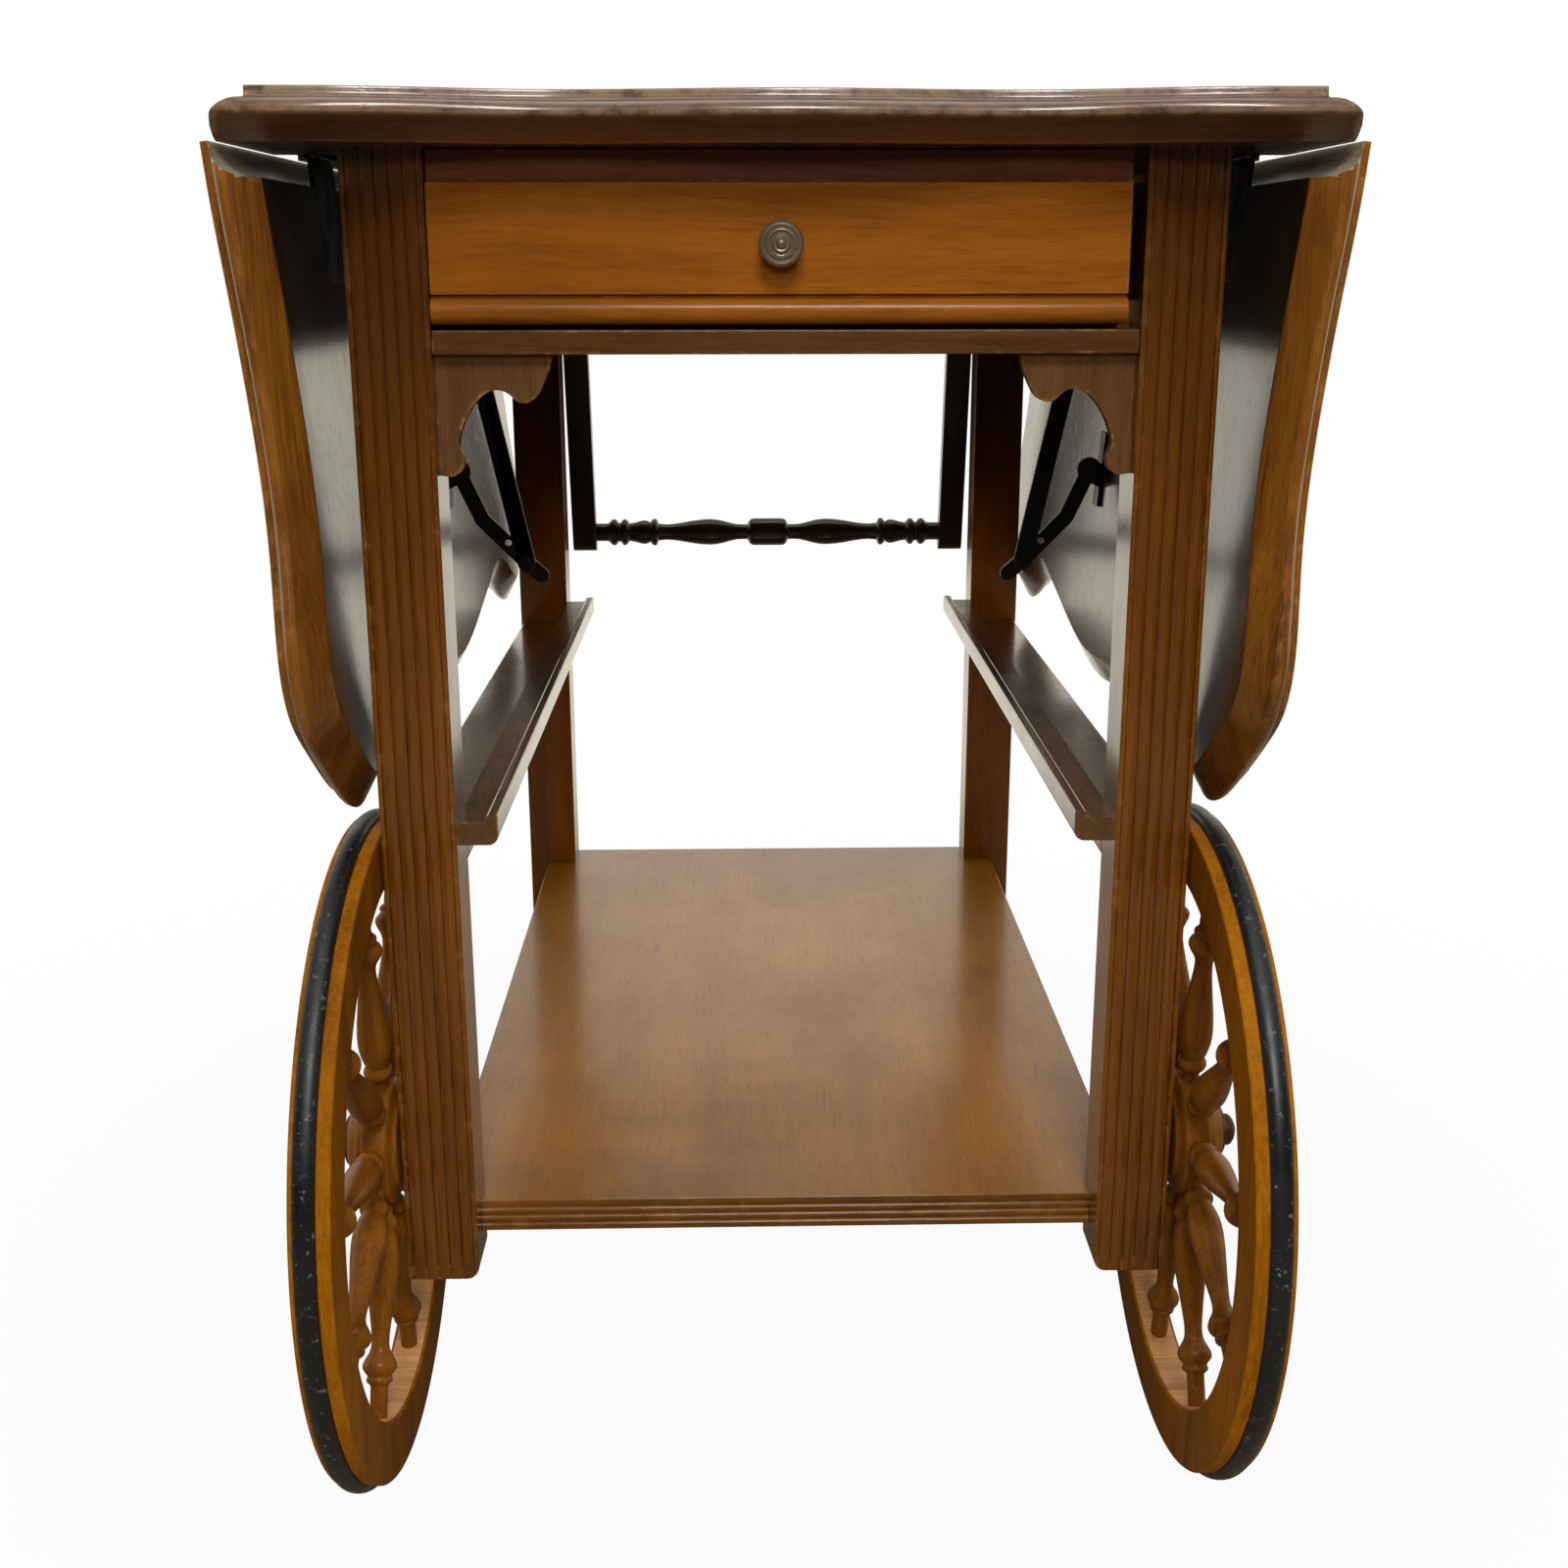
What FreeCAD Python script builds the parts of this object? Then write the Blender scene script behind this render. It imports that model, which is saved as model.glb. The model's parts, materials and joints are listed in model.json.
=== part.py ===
import FreeCAD, Part
import math
import os
from FreeCAD import Rotation, Vector

# Drop leaf tea trolley, in millimetres.
# +Z is up, the floor is z = 0, the drawer faces -Y and the leaves hang at +X and -X.

# --- overall sizes -------------------------------------------------------
TOTAL_HEIGHT = 708.0
FRAME_LENGTH = 643.0        # front face of the front legs to back face of the rear legs
FRAME_WIDTH = 410.0         # over the outer faces of the legs
LEG_WIDTH = 38.0
LEG_DEPTH = 34.0
FRONT_LEG_BOTTOM = 104.5

# --- table top and leaves ------------------------------------------------
TOP_THICKNESS = 22.5
MOULD_LIP = 5.0             # height of the step under the top face
MOULD_SHOULDER = 9.0        # how far the step stands back from the edge
MOULD_ROUND = 4.5           # rounded nose under the step
MOULD_UNDERCUT = 18.0       # how far the edge slants in at the underside
MOULD_UNDERCUT_HEIGHT = 11.5
SIDE_UNDERCUT = 2.8         # the same slant along the two long edges of the top
TOP_OVERHANG = 54.5         # each end of the top beyond the legs
TOP_RECESS = 18.0           # depth of the shallow hollows in each end
TOP_CENTRE_DROP = 9.0       # the middle of each end stands back by this
LEAF_BULGE = 8.0            # how far the leaf ends swell past the ends of the top
LEAF_HOLLOW = 11.5          # how far they draw in beside the hinge edge
LEAF_WHEEL_GAP = 10.0       # the hanging leaves end this far above the wheels
LEAF_NOTCH = 29.0           # depth of the notch beside each corner lobe
LEAF_DROP = 94.5            # degrees from raised to hanging
PIN_OVERHANG = 28.3         # hinge pins beyond the legs
PIN_ABOVE_UNDERSIDE = 1.5
COVE_GAP = 0.6              # play between the rounded edge and the hollow edge
LIP_GAP = 0.4               # play between the two lips when a leaf is up

# --- hinges --------------------------------------------------------------
HINGE_OFFSET = 230.0        # each hinge's distance from the middle of the leaf
HINGE_WIDTH = 50.0
HINGE_PLATE = 2.0
HINGE_LEAF_PLATE_REACH = 62.0
HINGE_FRAME_PLATE_REACH = 27.0
KNUCKLE_RADIUS = 2.75
HINGE_PIN_RADIUS = 1.6
KNUCKLE_LENGTH = 12.0
SIDE_GAP = 0.3
RUNNING_GAP = 0.05

# --- drawer and its surround ---------------------------------------------
RAIL_DROP = 92.5            # underside of the top to underside of the front rail
RAIL_HEIGHT = 11.3
RAIL_SETBACK = 3.0
RAIL_DEPTH = 39.0
APRON_THICKNESS = 18.0
APRON_SETBACK = 3.0
SIDE_APRON_HEIGHT = 70.5
REAR_APRON_HEIGHT = 92.5
DRAWER_LEFT_GAP = 0.3
DRAWER_RIGHT_GAP = 6.0
DRAWER_TOP_GAP = 0.8
DRAWER_RAIL_GAP = 2.4
DRAWER_STRIP_HEIGHT = 14.0
DRAWER_BEAD_HEIGHT = 12.0
DRAWER_GROOVE_HEIGHT = 1.5
DRAWER_FACE_SETBACK = 4.0
DRAWER_STRIP_SETBACK = 8.0
DRAWER_GROOVE_SETBACK = 7.5
DRAWER_FRONT_BACK = 26.0
DRAWER_BOARD = 10.0
DRAWER_INSET = 12.0         # the box stands in from the ends of its front
DRAWER_DEPTH = 430.0
DRAWER_SIDE_GAP = 0.7       # drawer sides above the rail
DRAWER_SIDE_DROP = 13.7     # drawer sides below the top of the front
RUNNER_LAP = 16.0           # how far the runners reach in under the drawer sides
GUIDE_HEIGHT = 12.0
DRAWER_BOTTOM_BOARD = 4.0
DRAWER_BOTTOM_UP = 5.0
DRAWER_TONGUE = 5.0
KNOB_HEIGHT = 36.3          # above the lower edge of the drawer front
KNOB_SCREW = 12.0
KNOB_SCREW_RADIUS = 2.5
KNOB_HEAD_RADIUS = 10.5

# --- fret brackets, shelf and tray rails ---------------------------------
FRET_SETBACK = 10.0
FRET_THICKNESS = 8.0
FRET_REACH = 54.5
FRET_DROP = 57.0
SHELF_TOP = 140.5
SHELF_THICKNESS = 18.4
SHELF_SIDE_INSET = 15.0
SHELF_FRONT_SETBACK = 21.0
SIDE_RAIL_TOP = 351.0
SIDE_RAIL_HEIGHT = 18.0
SIDE_RAIL_THICKNESS = 35.0
LEDGE_LAP = 2.0             # the ledges start this far below the top of the side rails
LEDGE_HEIGHT = 18.6
LEDGE_WIDTH = 21.0
LEDGE_OVERHANG = 5.0
LEDGE_CORNER = 10.0

# --- wheels --------------------------------------------------------------
WHEEL_RADIUS = 179.0
AXLE_SETBACK = 20.0         # axle line behind the front faces of the front legs
WHEEL_STAND_OFF = 12.0      # middle of the rim beyond the legs
RIM_HALF_WIDTH = 10.0
RIM_DEPTH = 31.0
TYRE_PROUD = 3.5
TYRE_GROOVE = 3.5
TYRE_IN = -3.0
TYRE_OUT = 7.5
SPOKE_COUNT = 10
SPOKE_FIRST_ANGLE = 28.0
SPOKE_RADIUS = 9.0
SPOKE_TENON_RADIUS = 4.6
SPOKE_TENON = 8.0
HUB_RADIUS = 34.0
HUB_IN = -10.0
HUB_OUT = 18.0
BUSH_RADIUS = 8.0
AXLE_RADIUS = 5.0
AXLE_EMBEDDED = 28.0
WASHER_THICKNESS = 1.6
WASHER_RADIUS = 13.0
NUT_RADIUS = 8.5
NUT_LENGTH = 8.0

# --- casters -------------------------------------------------------------
CASTER_RADIUS = 24.0
CASTER_WIDTH = 17.0
CASTER_TRAIL = 17.0
CASTER_PLATE = 3.0
CASTER_ARM = 2.5
CASTER_ARM_WIDTH = 15.0
CASTER_STEM_RADIUS = 4.0
CASTER_SOCKET_RADIUS = 6.0
CASTER_SOCKET_LENGTH = 34.0
CASTER_HEAD_ROOM = 14.0     # top of the wheel to the foot of the leg
CASTER_FLANGE = 2.0
CASTER_FLANGE_RADIUS = 14.0
CASTER_STEM_PLAY = 4.0
CASTER_PIN_RADIUS = 3.0

# --- pull handle ---------------------------------------------------------
HANDLE_PIVOT_INSET = 8.0        # ahead of the back faces of the rear legs
HANDLE_PIVOT_DROP = 45.5        # below the underside of the top
HANDLE_REACH = 232.0            # pivot to spindle
HANDLE_TAIL = 16.0              # spindle to the lower end of each arm
HANDLE_TILT = 12.0
HANDLE_ARM_WIDTH = 20.0
HANDLE_ARM_THICKNESS = 14.0
HANDLE_PIN_RADIUS = 4.0
HANDLE_PIN_EMBEDDED = 18.0
HANDLE_TENON_RADIUS = 5.0
HANDLE_TENON = 10.0
GRIP_RADIUS = 11.5
STOP_HEIGHT = 14.0

# --- folding stays: places in from and below the hinge pin, leaf hanging ---
STAY_FRAME_IN = 36.3
STAY_FRAME_DROP = 84.0
STAY_KNUCKLE_IN = 69.3
STAY_KNUCKLE_DROP = 243.0
STAY_LEAF_IN = 26.8
STAY_LEAF_DROP = 183.0
STAY_BAR = 3.0
STAY_ARM_WIDTH = 12.0
STAY_LINK_WIDTH = 10.0
STAY_LUG_WIDTH = 14.0
STAY_PIN_RADIUS = 3.0
STAY_HEAD_RADIUS = 6.0
STAY_HEAD = 1.5
STAY_PLATE = 2.5
STAY_FOOT_LENGTH = 16.0
STAY_LEAF_FOOT = 48.0

# --- derived positions ---------------------------------------------------
HALF_WIDTH = FRAME_WIDTH / 2
LEG_INNER = HALF_WIDTH - LEG_WIDTH
TOP_UNDERSIDE = TOTAL_HEIGHT - TOP_THICKNESS
LIP_BOTTOM = TOTAL_HEIGHT - MOULD_LIP
TOP_HALF_LENGTH = FRAME_LENGTH / 2 + TOP_OVERHANG
LEAF_HALF_LENGTH = TOP_HALF_LENGTH + LEAF_BULGE
PIN_X = HALF_WIDTH + PIN_OVERHANG
PIN_Z = TOP_UNDERSIDE + PIN_ABOVE_UNDERSIDE
LEAF_REACH = (PIN_Z - 2 * WHEEL_RADIUS - LEAF_WHEEL_GAP) / math.cos(math.radians(LEAF_DROP - 90))
ROUND_RADIUS = LIP_BOTTOM - PIN_Z
COVE_RADIUS = ROUND_RADIUS + COVE_GAP
FRONT = -(FRAME_LENGTH / 2 + LEAF_HALF_LENGTH + AXLE_SETBACK - WHEEL_RADIUS) / 2
BACK = FRONT + FRAME_LENGTH
MIDDLE = FRONT + FRAME_LENGTH / 2
REAR_LEG_FRONT = BACK - LEG_DEPTH
APRON_OUTER = HALF_WIDTH - APRON_SETBACK
REAR_APRON_BACK = REAR_LEG_FRONT + APRON_THICKNESS
RAIL_BOTTOM = TOP_UNDERSIDE - RAIL_DROP
RAIL_TOP = RAIL_BOTTOM + RAIL_HEIGHT
SIDE_APRON_BOTTOM = TOP_UNDERSIDE - SIDE_APRON_HEIGHT
REAR_APRON_BOTTOM = TOP_UNDERSIDE - REAR_APRON_HEIGHT
DRAWER_LEFT = -LEG_INNER + DRAWER_LEFT_GAP
DRAWER_RIGHT = LEG_INNER - DRAWER_RIGHT_GAP
DRAWER_FRONT_BOTTOM = RAIL_TOP + DRAWER_RAIL_GAP
DRAWER_FRONT_TOP = TOP_UNDERSIDE - DRAWER_TOP_GAP
DRAWER_STRIP_BOTTOM = DRAWER_FRONT_TOP - DRAWER_STRIP_HEIGHT
DRAWER_BEAD_TOP = DRAWER_FRONT_BOTTOM + DRAWER_BEAD_HEIGHT
DRAWER_PANEL_BOTTOM = DRAWER_BEAD_TOP + DRAWER_GROOVE_HEIGHT
DRAWER_SIDE_BOTTOM = RAIL_TOP + DRAWER_SIDE_GAP
DRAWER_SIDE_TOP = DRAWER_FRONT_TOP - DRAWER_SIDE_DROP
DRAWER_BOX_LEFT = DRAWER_LEFT + DRAWER_INSET
DRAWER_BOX_RIGHT = DRAWER_RIGHT - DRAWER_INSET
DRAWER_BOX_FRONT = FRONT + DRAWER_FRONT_BACK
DRAWER_BOX_BACK = DRAWER_BOX_FRONT + DRAWER_DEPTH
KNOB_X = (DRAWER_LEFT + DRAWER_RIGHT) / 2
KNOB_Z = DRAWER_FRONT_BOTTOM + KNOB_HEIGHT
SHELF_HALF_WIDTH = HALF_WIDTH - SHELF_SIDE_INSET
LEDGE_BOTTOM = SIDE_RAIL_TOP - LEDGE_LAP
AXLE_Y = FRONT + AXLE_SETBACK
WHEEL_PLANE_X = HALF_WIDTH + WHEEL_STAND_OFF
RIM_OUTER = WHEEL_RADIUS - TYRE_PROUD
RIM_INNER = RIM_OUTER - RIM_DEPTH
TYRE_SEAT = RIM_OUTER - TYRE_GROOVE
REAR_LEG_BOTTOM = 2 * CASTER_RADIUS + CASTER_HEAD_ROOM
CASTER_X = HALF_WIDTH - LEG_WIDTH / 2
CASTER_Y = BACK - LEG_DEPTH / 2
HANDLE_PIVOT_Y = BACK - HANDLE_PIVOT_INSET
HANDLE_PIVOT_Z = TOP_UNDERSIDE - HANDLE_PIVOT_DROP
STAY_FRAME_PIVOT = (PIN_X - STAY_FRAME_IN, PIN_Z - STAY_FRAME_DROP)
STAY_KNUCKLE = (PIN_X - STAY_KNUCKLE_IN, PIN_Z - STAY_KNUCKLE_DROP)
STAY_LEAF_PIVOT = (PIN_X - STAY_LEAF_IN, PIN_Z - STAY_LEAF_DROP)


def box(x0, x1, y0, y1, z0, z1):
    return Part.makeBox(x1 - x0, y1 - y0, z1 - z0, Vector(x0, y0, z0))


def rod(x, y, z, direction, radius, length):
    return Part.makeCylinder(radius, length, Vector(x, y, z), Vector(*direction))


def prism(points, direction):
    """A flat closed polygon pushed along a direction."""
    wire = Part.makePolygon([Vector(*p) for p in points + [points[0]]])
    return Part.Face(wire).extrude(Vector(*direction))


def curve(points):
    """One smooth edge through the points."""
    spline = Part.BSplineCurve()
    spline.interpolate([Vector(*p) for p in points])
    return spline.toShape()


def line(a, b):
    return Part.makeLine(Vector(*a), Vector(*b))


def turned(profile, smooth=False):
    """A solid turned about +Z from (height, radius) points."""
    points = [(radius, 0, height) for height, radius in profile]
    low = (0, 0, profile[0][0])
    high = (0, 0, profile[-1][0])
    if smooth:
        edges = [curve(points)]
    else:
        edges = [line(a, b) for a, b in zip(points, points[1:])]
    edges = [line(low, points[0])] + edges + [line(points[-1], high), line(high, low)]
    face = Part.Face(Part.Wire(edges))
    return face.revolve(Vector(0, 0, 0), Vector(0, 0, 1), 360)


def ring(profile):
    """A ring turned about +Z from a closed (height, radius) outline."""
    points = [(radius, 0, height) for height, radius in profile]
    wire = Part.makePolygon([Vector(*p) for p in points + [points[0]]])
    return Part.Face(wire).revolve(Vector(0, 0, 0), Vector(0, 0, 1), 360)


def aimed(shape, origin, direction):
    """Turn a +Z shape to point along a direction, then move it to its origin."""
    placed = shape.copy()
    placed.Placement = FreeCAD.Placement(Vector(*origin), Rotation(Vector(0, 0, 1), Vector(*direction)))
    return placed


def joined(shapes):
    result = shapes[0]
    for shape in shapes[1:]:
        result = result.fuse(shape)
    return result.removeSplitter()


def mirrored(shape):
    return shape.mirror(Vector(0, 0, 0), Vector(1, 0, 0))


def group(shapes):
    return Part.makeCompound(shapes)


def save(name, shape):
    shape.exportStep("parts/" + name + ".step")


def save_pair(right_name, left_name, shape):
    """Write a right-hand piece and its mirror image."""
    save(right_name, shape)
    save(left_name, mirrored(shape))


# --- table top -----------------------------------------------------------
def end_curve(inset, half_width, sign, z):
    """The serpentine end of the top, seen from above."""
    reach = TOP_HALF_LENGTH - inset
    marks = [
        (-1.0, 0.0), (-0.8, 0.12 * TOP_RECESS), (-0.5, TOP_RECESS),
        (0.0, TOP_CENTRE_DROP),
        (0.5, TOP_RECESS), (0.8, 0.12 * TOP_RECESS), (1.0, 0.0),
    ]
    return curve([(x * half_width, MIDDLE + sign * (reach - drop), z) for x, drop in marks])


def top_wire(inset, half_width, z):
    """Outline of the top at one height: serpentine ends and straight sides."""
    near = end_curve(inset, half_width, -1, z)
    far = end_curve(inset, half_width, 1, z)
    y0 = MIDDLE - TOP_HALF_LENGTH + inset
    y1 = MIDDLE + TOP_HALF_LENGTH - inset
    right = line((half_width, y0, z), (half_width, y1, z))
    left = line((-half_width, y0, z), (-half_width, y1, z))
    return Part.Wire([near, right, far, left])


def moulded_board(outline):
    """A board from its outlines: slanted foot, rounded nose and a stepped top face."""
    nose = TOP_UNDERSIDE + MOULD_UNDERCUT_HEIGHT
    foot = Part.makeLoft([outline(MOULD_UNDERCUT, TOP_UNDERSIDE), outline(0, nose)], True, True)
    band = Part.Face(outline(0, nose)).extrude(Vector(0, 0, LIP_BOTTOM - nose))
    shaped = []
    for edge in band.Edges:
        b = edge.BoundBox
        at_top = abs(b.ZMin - LIP_BOTTOM) < 0.01 and abs(b.ZMax - LIP_BOTTOM) < 0.01
        if at_top and b.XLength > 0.01:
            shaped.append(edge)
    band = band.makeFillet(MOULD_ROUND, shaped)
    face = Part.Face(outline(MOULD_SHOULDER, LIP_BOTTOM)).extrude(Vector(0, 0, MOULD_LIP))
    return joined([foot, band, face])


def rule_round():
    """Cross-section of the top's long edges: lip, quarter round and undercut."""
    widest = ROUND_RADIUS * math.cos(math.radians(10))
    steps = 12
    arc = []
    for i in range(steps + 1):
        angle = math.radians(90 - 80 * i / steps)
        arc.append((PIN_X + ROUND_RADIUS * math.cos(angle), PIN_Z + ROUND_RADIUS * math.sin(angle)))
    side = [(0, TOTAL_HEIGHT), (PIN_X, TOTAL_HEIGHT)] + arc
    side.append((PIN_X + widest - SIDE_UNDERCUT, TOP_UNDERSIDE))
    side.append((0, TOP_UNDERSIDE))
    return side


def hinge_centres():
    return [MIDDLE - HINGE_OFFSET, MIDDLE + HINGE_OFFSET]


def hinge_pockets():
    """Wood cut away from the right side of the top for one hinge each."""
    pockets = []
    reach = KNUCKLE_RADIUS + 0.6
    for y in hinge_centres():
        y0 = y - HINGE_WIDTH / 2
        y1 = y + HINGE_WIDTH / 2
        plate = box(PIN_X - HINGE_FRAME_PLATE_REACH, PIN_X, y0, y1,
                    TOP_UNDERSIDE, TOP_UNDERSIDE + HINGE_PLATE)
        barrel = box(PIN_X - reach, PIN_X + reach, y0 - SIDE_GAP, y1 + SIDE_GAP,
                     TOP_UNDERSIDE, PIN_Z + reach)
        mouth = box(PIN_X, PIN_X + 2 * ROUND_RADIUS, y0 - SIDE_GAP, y1 + SIDE_GAP,
                    TOP_UNDERSIDE, TOP_UNDERSIDE + HINGE_PLATE + 0.5)
        pockets += [plate, barrel, mouth]
    return pockets


def build_top():
    blank = moulded_board(lambda inset, z: top_wire(inset, PIN_X + ROUND_RADIUS, z))
    right = rule_round()
    left = [(-x, z) for x, z in reversed(right[1:-1])]
    section = [(x, MIDDLE - LEAF_HALF_LENGTH, z) for x, z in right[1:-1] + left]
    profile = prism(section, (0, 2 * LEAF_HALF_LENGTH, 0))
    top = blank.common(profile)
    cuts = hinge_pockets()
    for pocket in cuts + [mirrored(p) for p in cuts]:
        top = top.cut(pocket)
    save("table_top", top)


# --- leaves --------------------------------------------------------------
def leaf_side():
    """Points along the free edge of a raised leaf: (pin to edge, distance from the middle)."""
    half = TOP_HALF_LENGTH
    wide = LEAF_HALF_LENGTH
    lobe = LEAF_REACH
    notch = LEAF_REACH - LEAF_NOTCH
    near = [(LIP_GAP, half)]
    for share, hollow in [(0.078, 0.07), (0.206, 0.56), (0.344, 0.96), (0.469, 1.0), (0.569, 0.52)]:
        near.append((share * lobe, half - hollow * LEAF_HOLLOW))
    near += [
        (0.656 * lobe, half + 3), (0.747 * lobe, wide), (0.819 * lobe, 0.984 * wide),
        (0.887 * lobe, 0.932 * wide),
        (lobe - 16, 0.87 * wide), (lobe - 4.5, 0.825 * wide), (lobe, 0.784 * wide), (lobe - 5, 0.721 * wide),
        (notch + 10, 0.635 * wide), (notch + 1.5, 0.557 * wide), (notch, 0.505 * wide),
        (notch + 4, 0.443 * wide),
        ((notch + lobe) / 2 - 2.5, 0.331 * wide), (lobe - 6, 0.167 * wide), (lobe, 0),
    ]
    return [(x, -y) for x, y in near] + [(x, y) for x, y in reversed(near[:-1])]


def leaf_wire(inset, z):
    """Outline of a raised leaf at one height, drawn in from its free edge by an inset."""
    base = Part.BSplineCurve()
    base.interpolate([Vector(PIN_X + x, MIDDLE + y, z) for x, y in leaf_side()])
    points = []
    steps = 90
    for i in range(steps + 1):
        t = base.FirstParameter + (base.LastParameter - base.FirstParameter) * i / steps
        along = base.tangent(t)[0]
        inward = Vector(-along.y, along.x, 0).normalize()
        points.append(base.value(t) + inward * inset)
    points[0].x = PIN_X + LIP_GAP
    points[-1].x = PIN_X + LIP_GAP
    shape = [(p.x, p.y, p.z) for p in points]
    return Part.Wire([curve(shape), line(shape[-1], shape[0])])


def hung(shape):
    """Swing a raised right-hand piece down to its hanging position."""
    moved = shape.copy()
    moved.rotate(Vector(PIN_X, 0, PIN_Z), Vector(0, 1, 0), LEAF_DROP)
    return moved


def build_leaf():
    leaf = moulded_board(leaf_wire)
    cove = rod(PIN_X, MIDDLE - 2 * LEAF_HALF_LENGTH, PIN_Z, (0, 1, 0), COVE_RADIUS, 4 * LEAF_HALF_LENGTH)
    leaf = leaf.cut(cove)
    for y in hinge_centres():
        recess = box(PIN_X, PIN_X + HINGE_LEAF_PLATE_REACH, y - HINGE_WIDTH / 2, y + HINGE_WIDTH / 2,
                     TOP_UNDERSIDE, TOP_UNDERSIDE + HINGE_PLATE)
        leaf = leaf.cut(recess)
    save_pair("right_leaf_panel", "left_leaf_panel", hung(leaf))


# --- leaf hinges ---------------------------------------------------------
def knuckle(y0, length):
    return rod(PIN_X, y0, PIN_Z, (0, 1, 0), KNUCKLE_RADIUS, length)


def frame_hinge(y):
    """The fixed half of one hinge, with its pin."""
    y0 = y - HINGE_WIDTH / 2
    y1 = y + HINGE_WIDTH / 2
    clear = KNUCKLE_RADIUS + 0.6
    plate = box(PIN_X - HINGE_FRAME_PLATE_REACH, PIN_X - clear, y0, y1,
                TOP_UNDERSIDE, TOP_UNDERSIDE + HINGE_PLATE)
    parts = [plate]
    for start in (y0, y1 - KNUCKLE_LENGTH):
        parts.append(knuckle(start, KNUCKLE_LENGTH))
        parts.append(box(PIN_X - clear, PIN_X, start, start + KNUCKLE_LENGTH,
                         TOP_UNDERSIDE, TOP_UNDERSIDE + HINGE_PLATE))
    parts.append(rod(PIN_X, y0, PIN_Z, (0, 1, 0), HINGE_PIN_RADIUS, HINGE_WIDTH))
    return joined(parts)


def leaf_hinge(y):
    """The moving half of one hinge, in the raised position."""
    y0 = y - HINGE_WIDTH / 2
    y1 = y + HINGE_WIDTH / 2
    inner = KNUCKLE_LENGTH + SIDE_GAP
    plate = box(PIN_X + KNUCKLE_RADIUS + 0.6, PIN_X + HINGE_LEAF_PLATE_REACH, y0, y1,
                TOP_UNDERSIDE, TOP_UNDERSIDE + HINGE_PLATE)
    neck = box(PIN_X, PIN_X + KNUCKLE_RADIUS + 0.7, y0 + inner, y1 - inner,
               TOP_UNDERSIDE, TOP_UNDERSIDE + HINGE_PLATE)
    barrel = knuckle(y0 + inner, HINGE_WIDTH - 2 * inner)
    body = joined([plate, neck, barrel])
    bore = rod(PIN_X, y0 - 1, PIN_Z, (0, 1, 0), HINGE_PIN_RADIUS + RUNNING_GAP, HINGE_WIDTH + 2)
    return body.cut(bore)


def build_hinges():
    fixed = [frame_hinge(y) for y in hinge_centres()]
    save("hinge_frame_plates", group(fixed + [mirrored(h) for h in fixed]))
    moving = group([hung(leaf_hinge(y)) for y in hinge_centres()])
    save_pair("right_hinge_leaf_plates", "left_hinge_leaf_plates", moving)


# --- legs, aprons and rails ----------------------------------------------
def reeded(block, x0, x1, face_y, z0, z1):
    """Cut shallow upright grooves into a front face."""
    count = 4
    pitch = (x1 - x0) / (count + 1.6)
    for i in range(count):
        x = (x0 + x1) / 2 + (i - (count - 1) / 2) * pitch
        block = block.cut(rod(x, face_y - 0.9, z0 - 1, (0, 0, 1), 2.3, z1 - z0 + 2))
    return block


def build_front_leg():
    leg = box(LEG_INNER, HALF_WIDTH, FRONT, FRONT + LEG_DEPTH, FRONT_LEG_BOTTOM, TOP_UNDERSIDE)
    corner = []
    for edge in leg.Edges:
        b = edge.BoundBox
        low = b.ZMax < FRONT_LEG_BOTTOM + 0.1
        if low and b.XMax < LEG_INNER + 0.1 and b.YLength > 1:
            corner.append(edge)
    leg = leg.makeFillet(8, corner)
    leg = reeded(leg, LEG_INNER, HALF_WIDTH, FRONT, FRONT_LEG_BOTTOM, TOP_UNDERSIDE)
    bore = rod(HALF_WIDTH - AXLE_EMBEDDED, AXLE_Y, WHEEL_RADIUS, (1, 0, 0), AXLE_RADIUS, AXLE_EMBEDDED)
    save_pair("front_right_leg", "front_left_leg", leg.cut(bore))


def build_rear_leg():
    leg = box(LEG_INNER, HALF_WIDTH, REAR_LEG_FRONT, BACK, REAR_LEG_BOTTOM, TOP_UNDERSIDE)
    socket = rod(CASTER_X, CASTER_Y, REAR_LEG_BOTTOM, (0, 0, 1), CASTER_SOCKET_RADIUS, CASTER_SOCKET_LENGTH)
    pin = rod(LEG_INNER, HANDLE_PIVOT_Y, HANDLE_PIVOT_Z, (1, 0, 0), HANDLE_PIN_RADIUS, HANDLE_PIN_EMBEDDED)
    leg = leg.cut(socket)
    leg = leg.cut(pin)
    save_pair("rear_right_leg", "rear_left_leg", leg)


def build_aprons():
    side = box(APRON_OUTER - APRON_THICKNESS, APRON_OUTER, FRONT + LEG_DEPTH, REAR_LEG_FRONT,
               SIDE_APRON_BOTTOM, TOP_UNDERSIDE)
    save_pair("right_side_apron", "left_side_apron", side)
    rear = box(-LEG_INNER, LEG_INNER, REAR_LEG_FRONT, REAR_APRON_BACK, REAR_APRON_BOTTOM, TOP_UNDERSIDE)
    save("rear_apron", rear)
    rail = box(-LEG_INNER, LEG_INNER, FRONT + RAIL_SETBACK, FRONT + RAIL_SETBACK + RAIL_DEPTH,
               RAIL_BOTTOM, RAIL_TOP)
    save("front_rail", rail)


def runner(inner_x, guide_x):
    """One drawer runner: a flat bearer with a guide strip along its outer side."""
    y0 = FRONT + RAIL_SETBACK + RAIL_DEPTH
    bearer_top = DRAWER_SIDE_BOTTOM - SIDE_GAP
    bearer = box(inner_x, LEG_INNER, y0, REAR_LEG_FRONT, RAIL_BOTTOM + 1, bearer_top)
    guide = box(guide_x, LEG_INNER, y0, REAR_LEG_FRONT, bearer_top, bearer_top + GUIDE_HEIGHT)
    return joined([bearer, guide])


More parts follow.
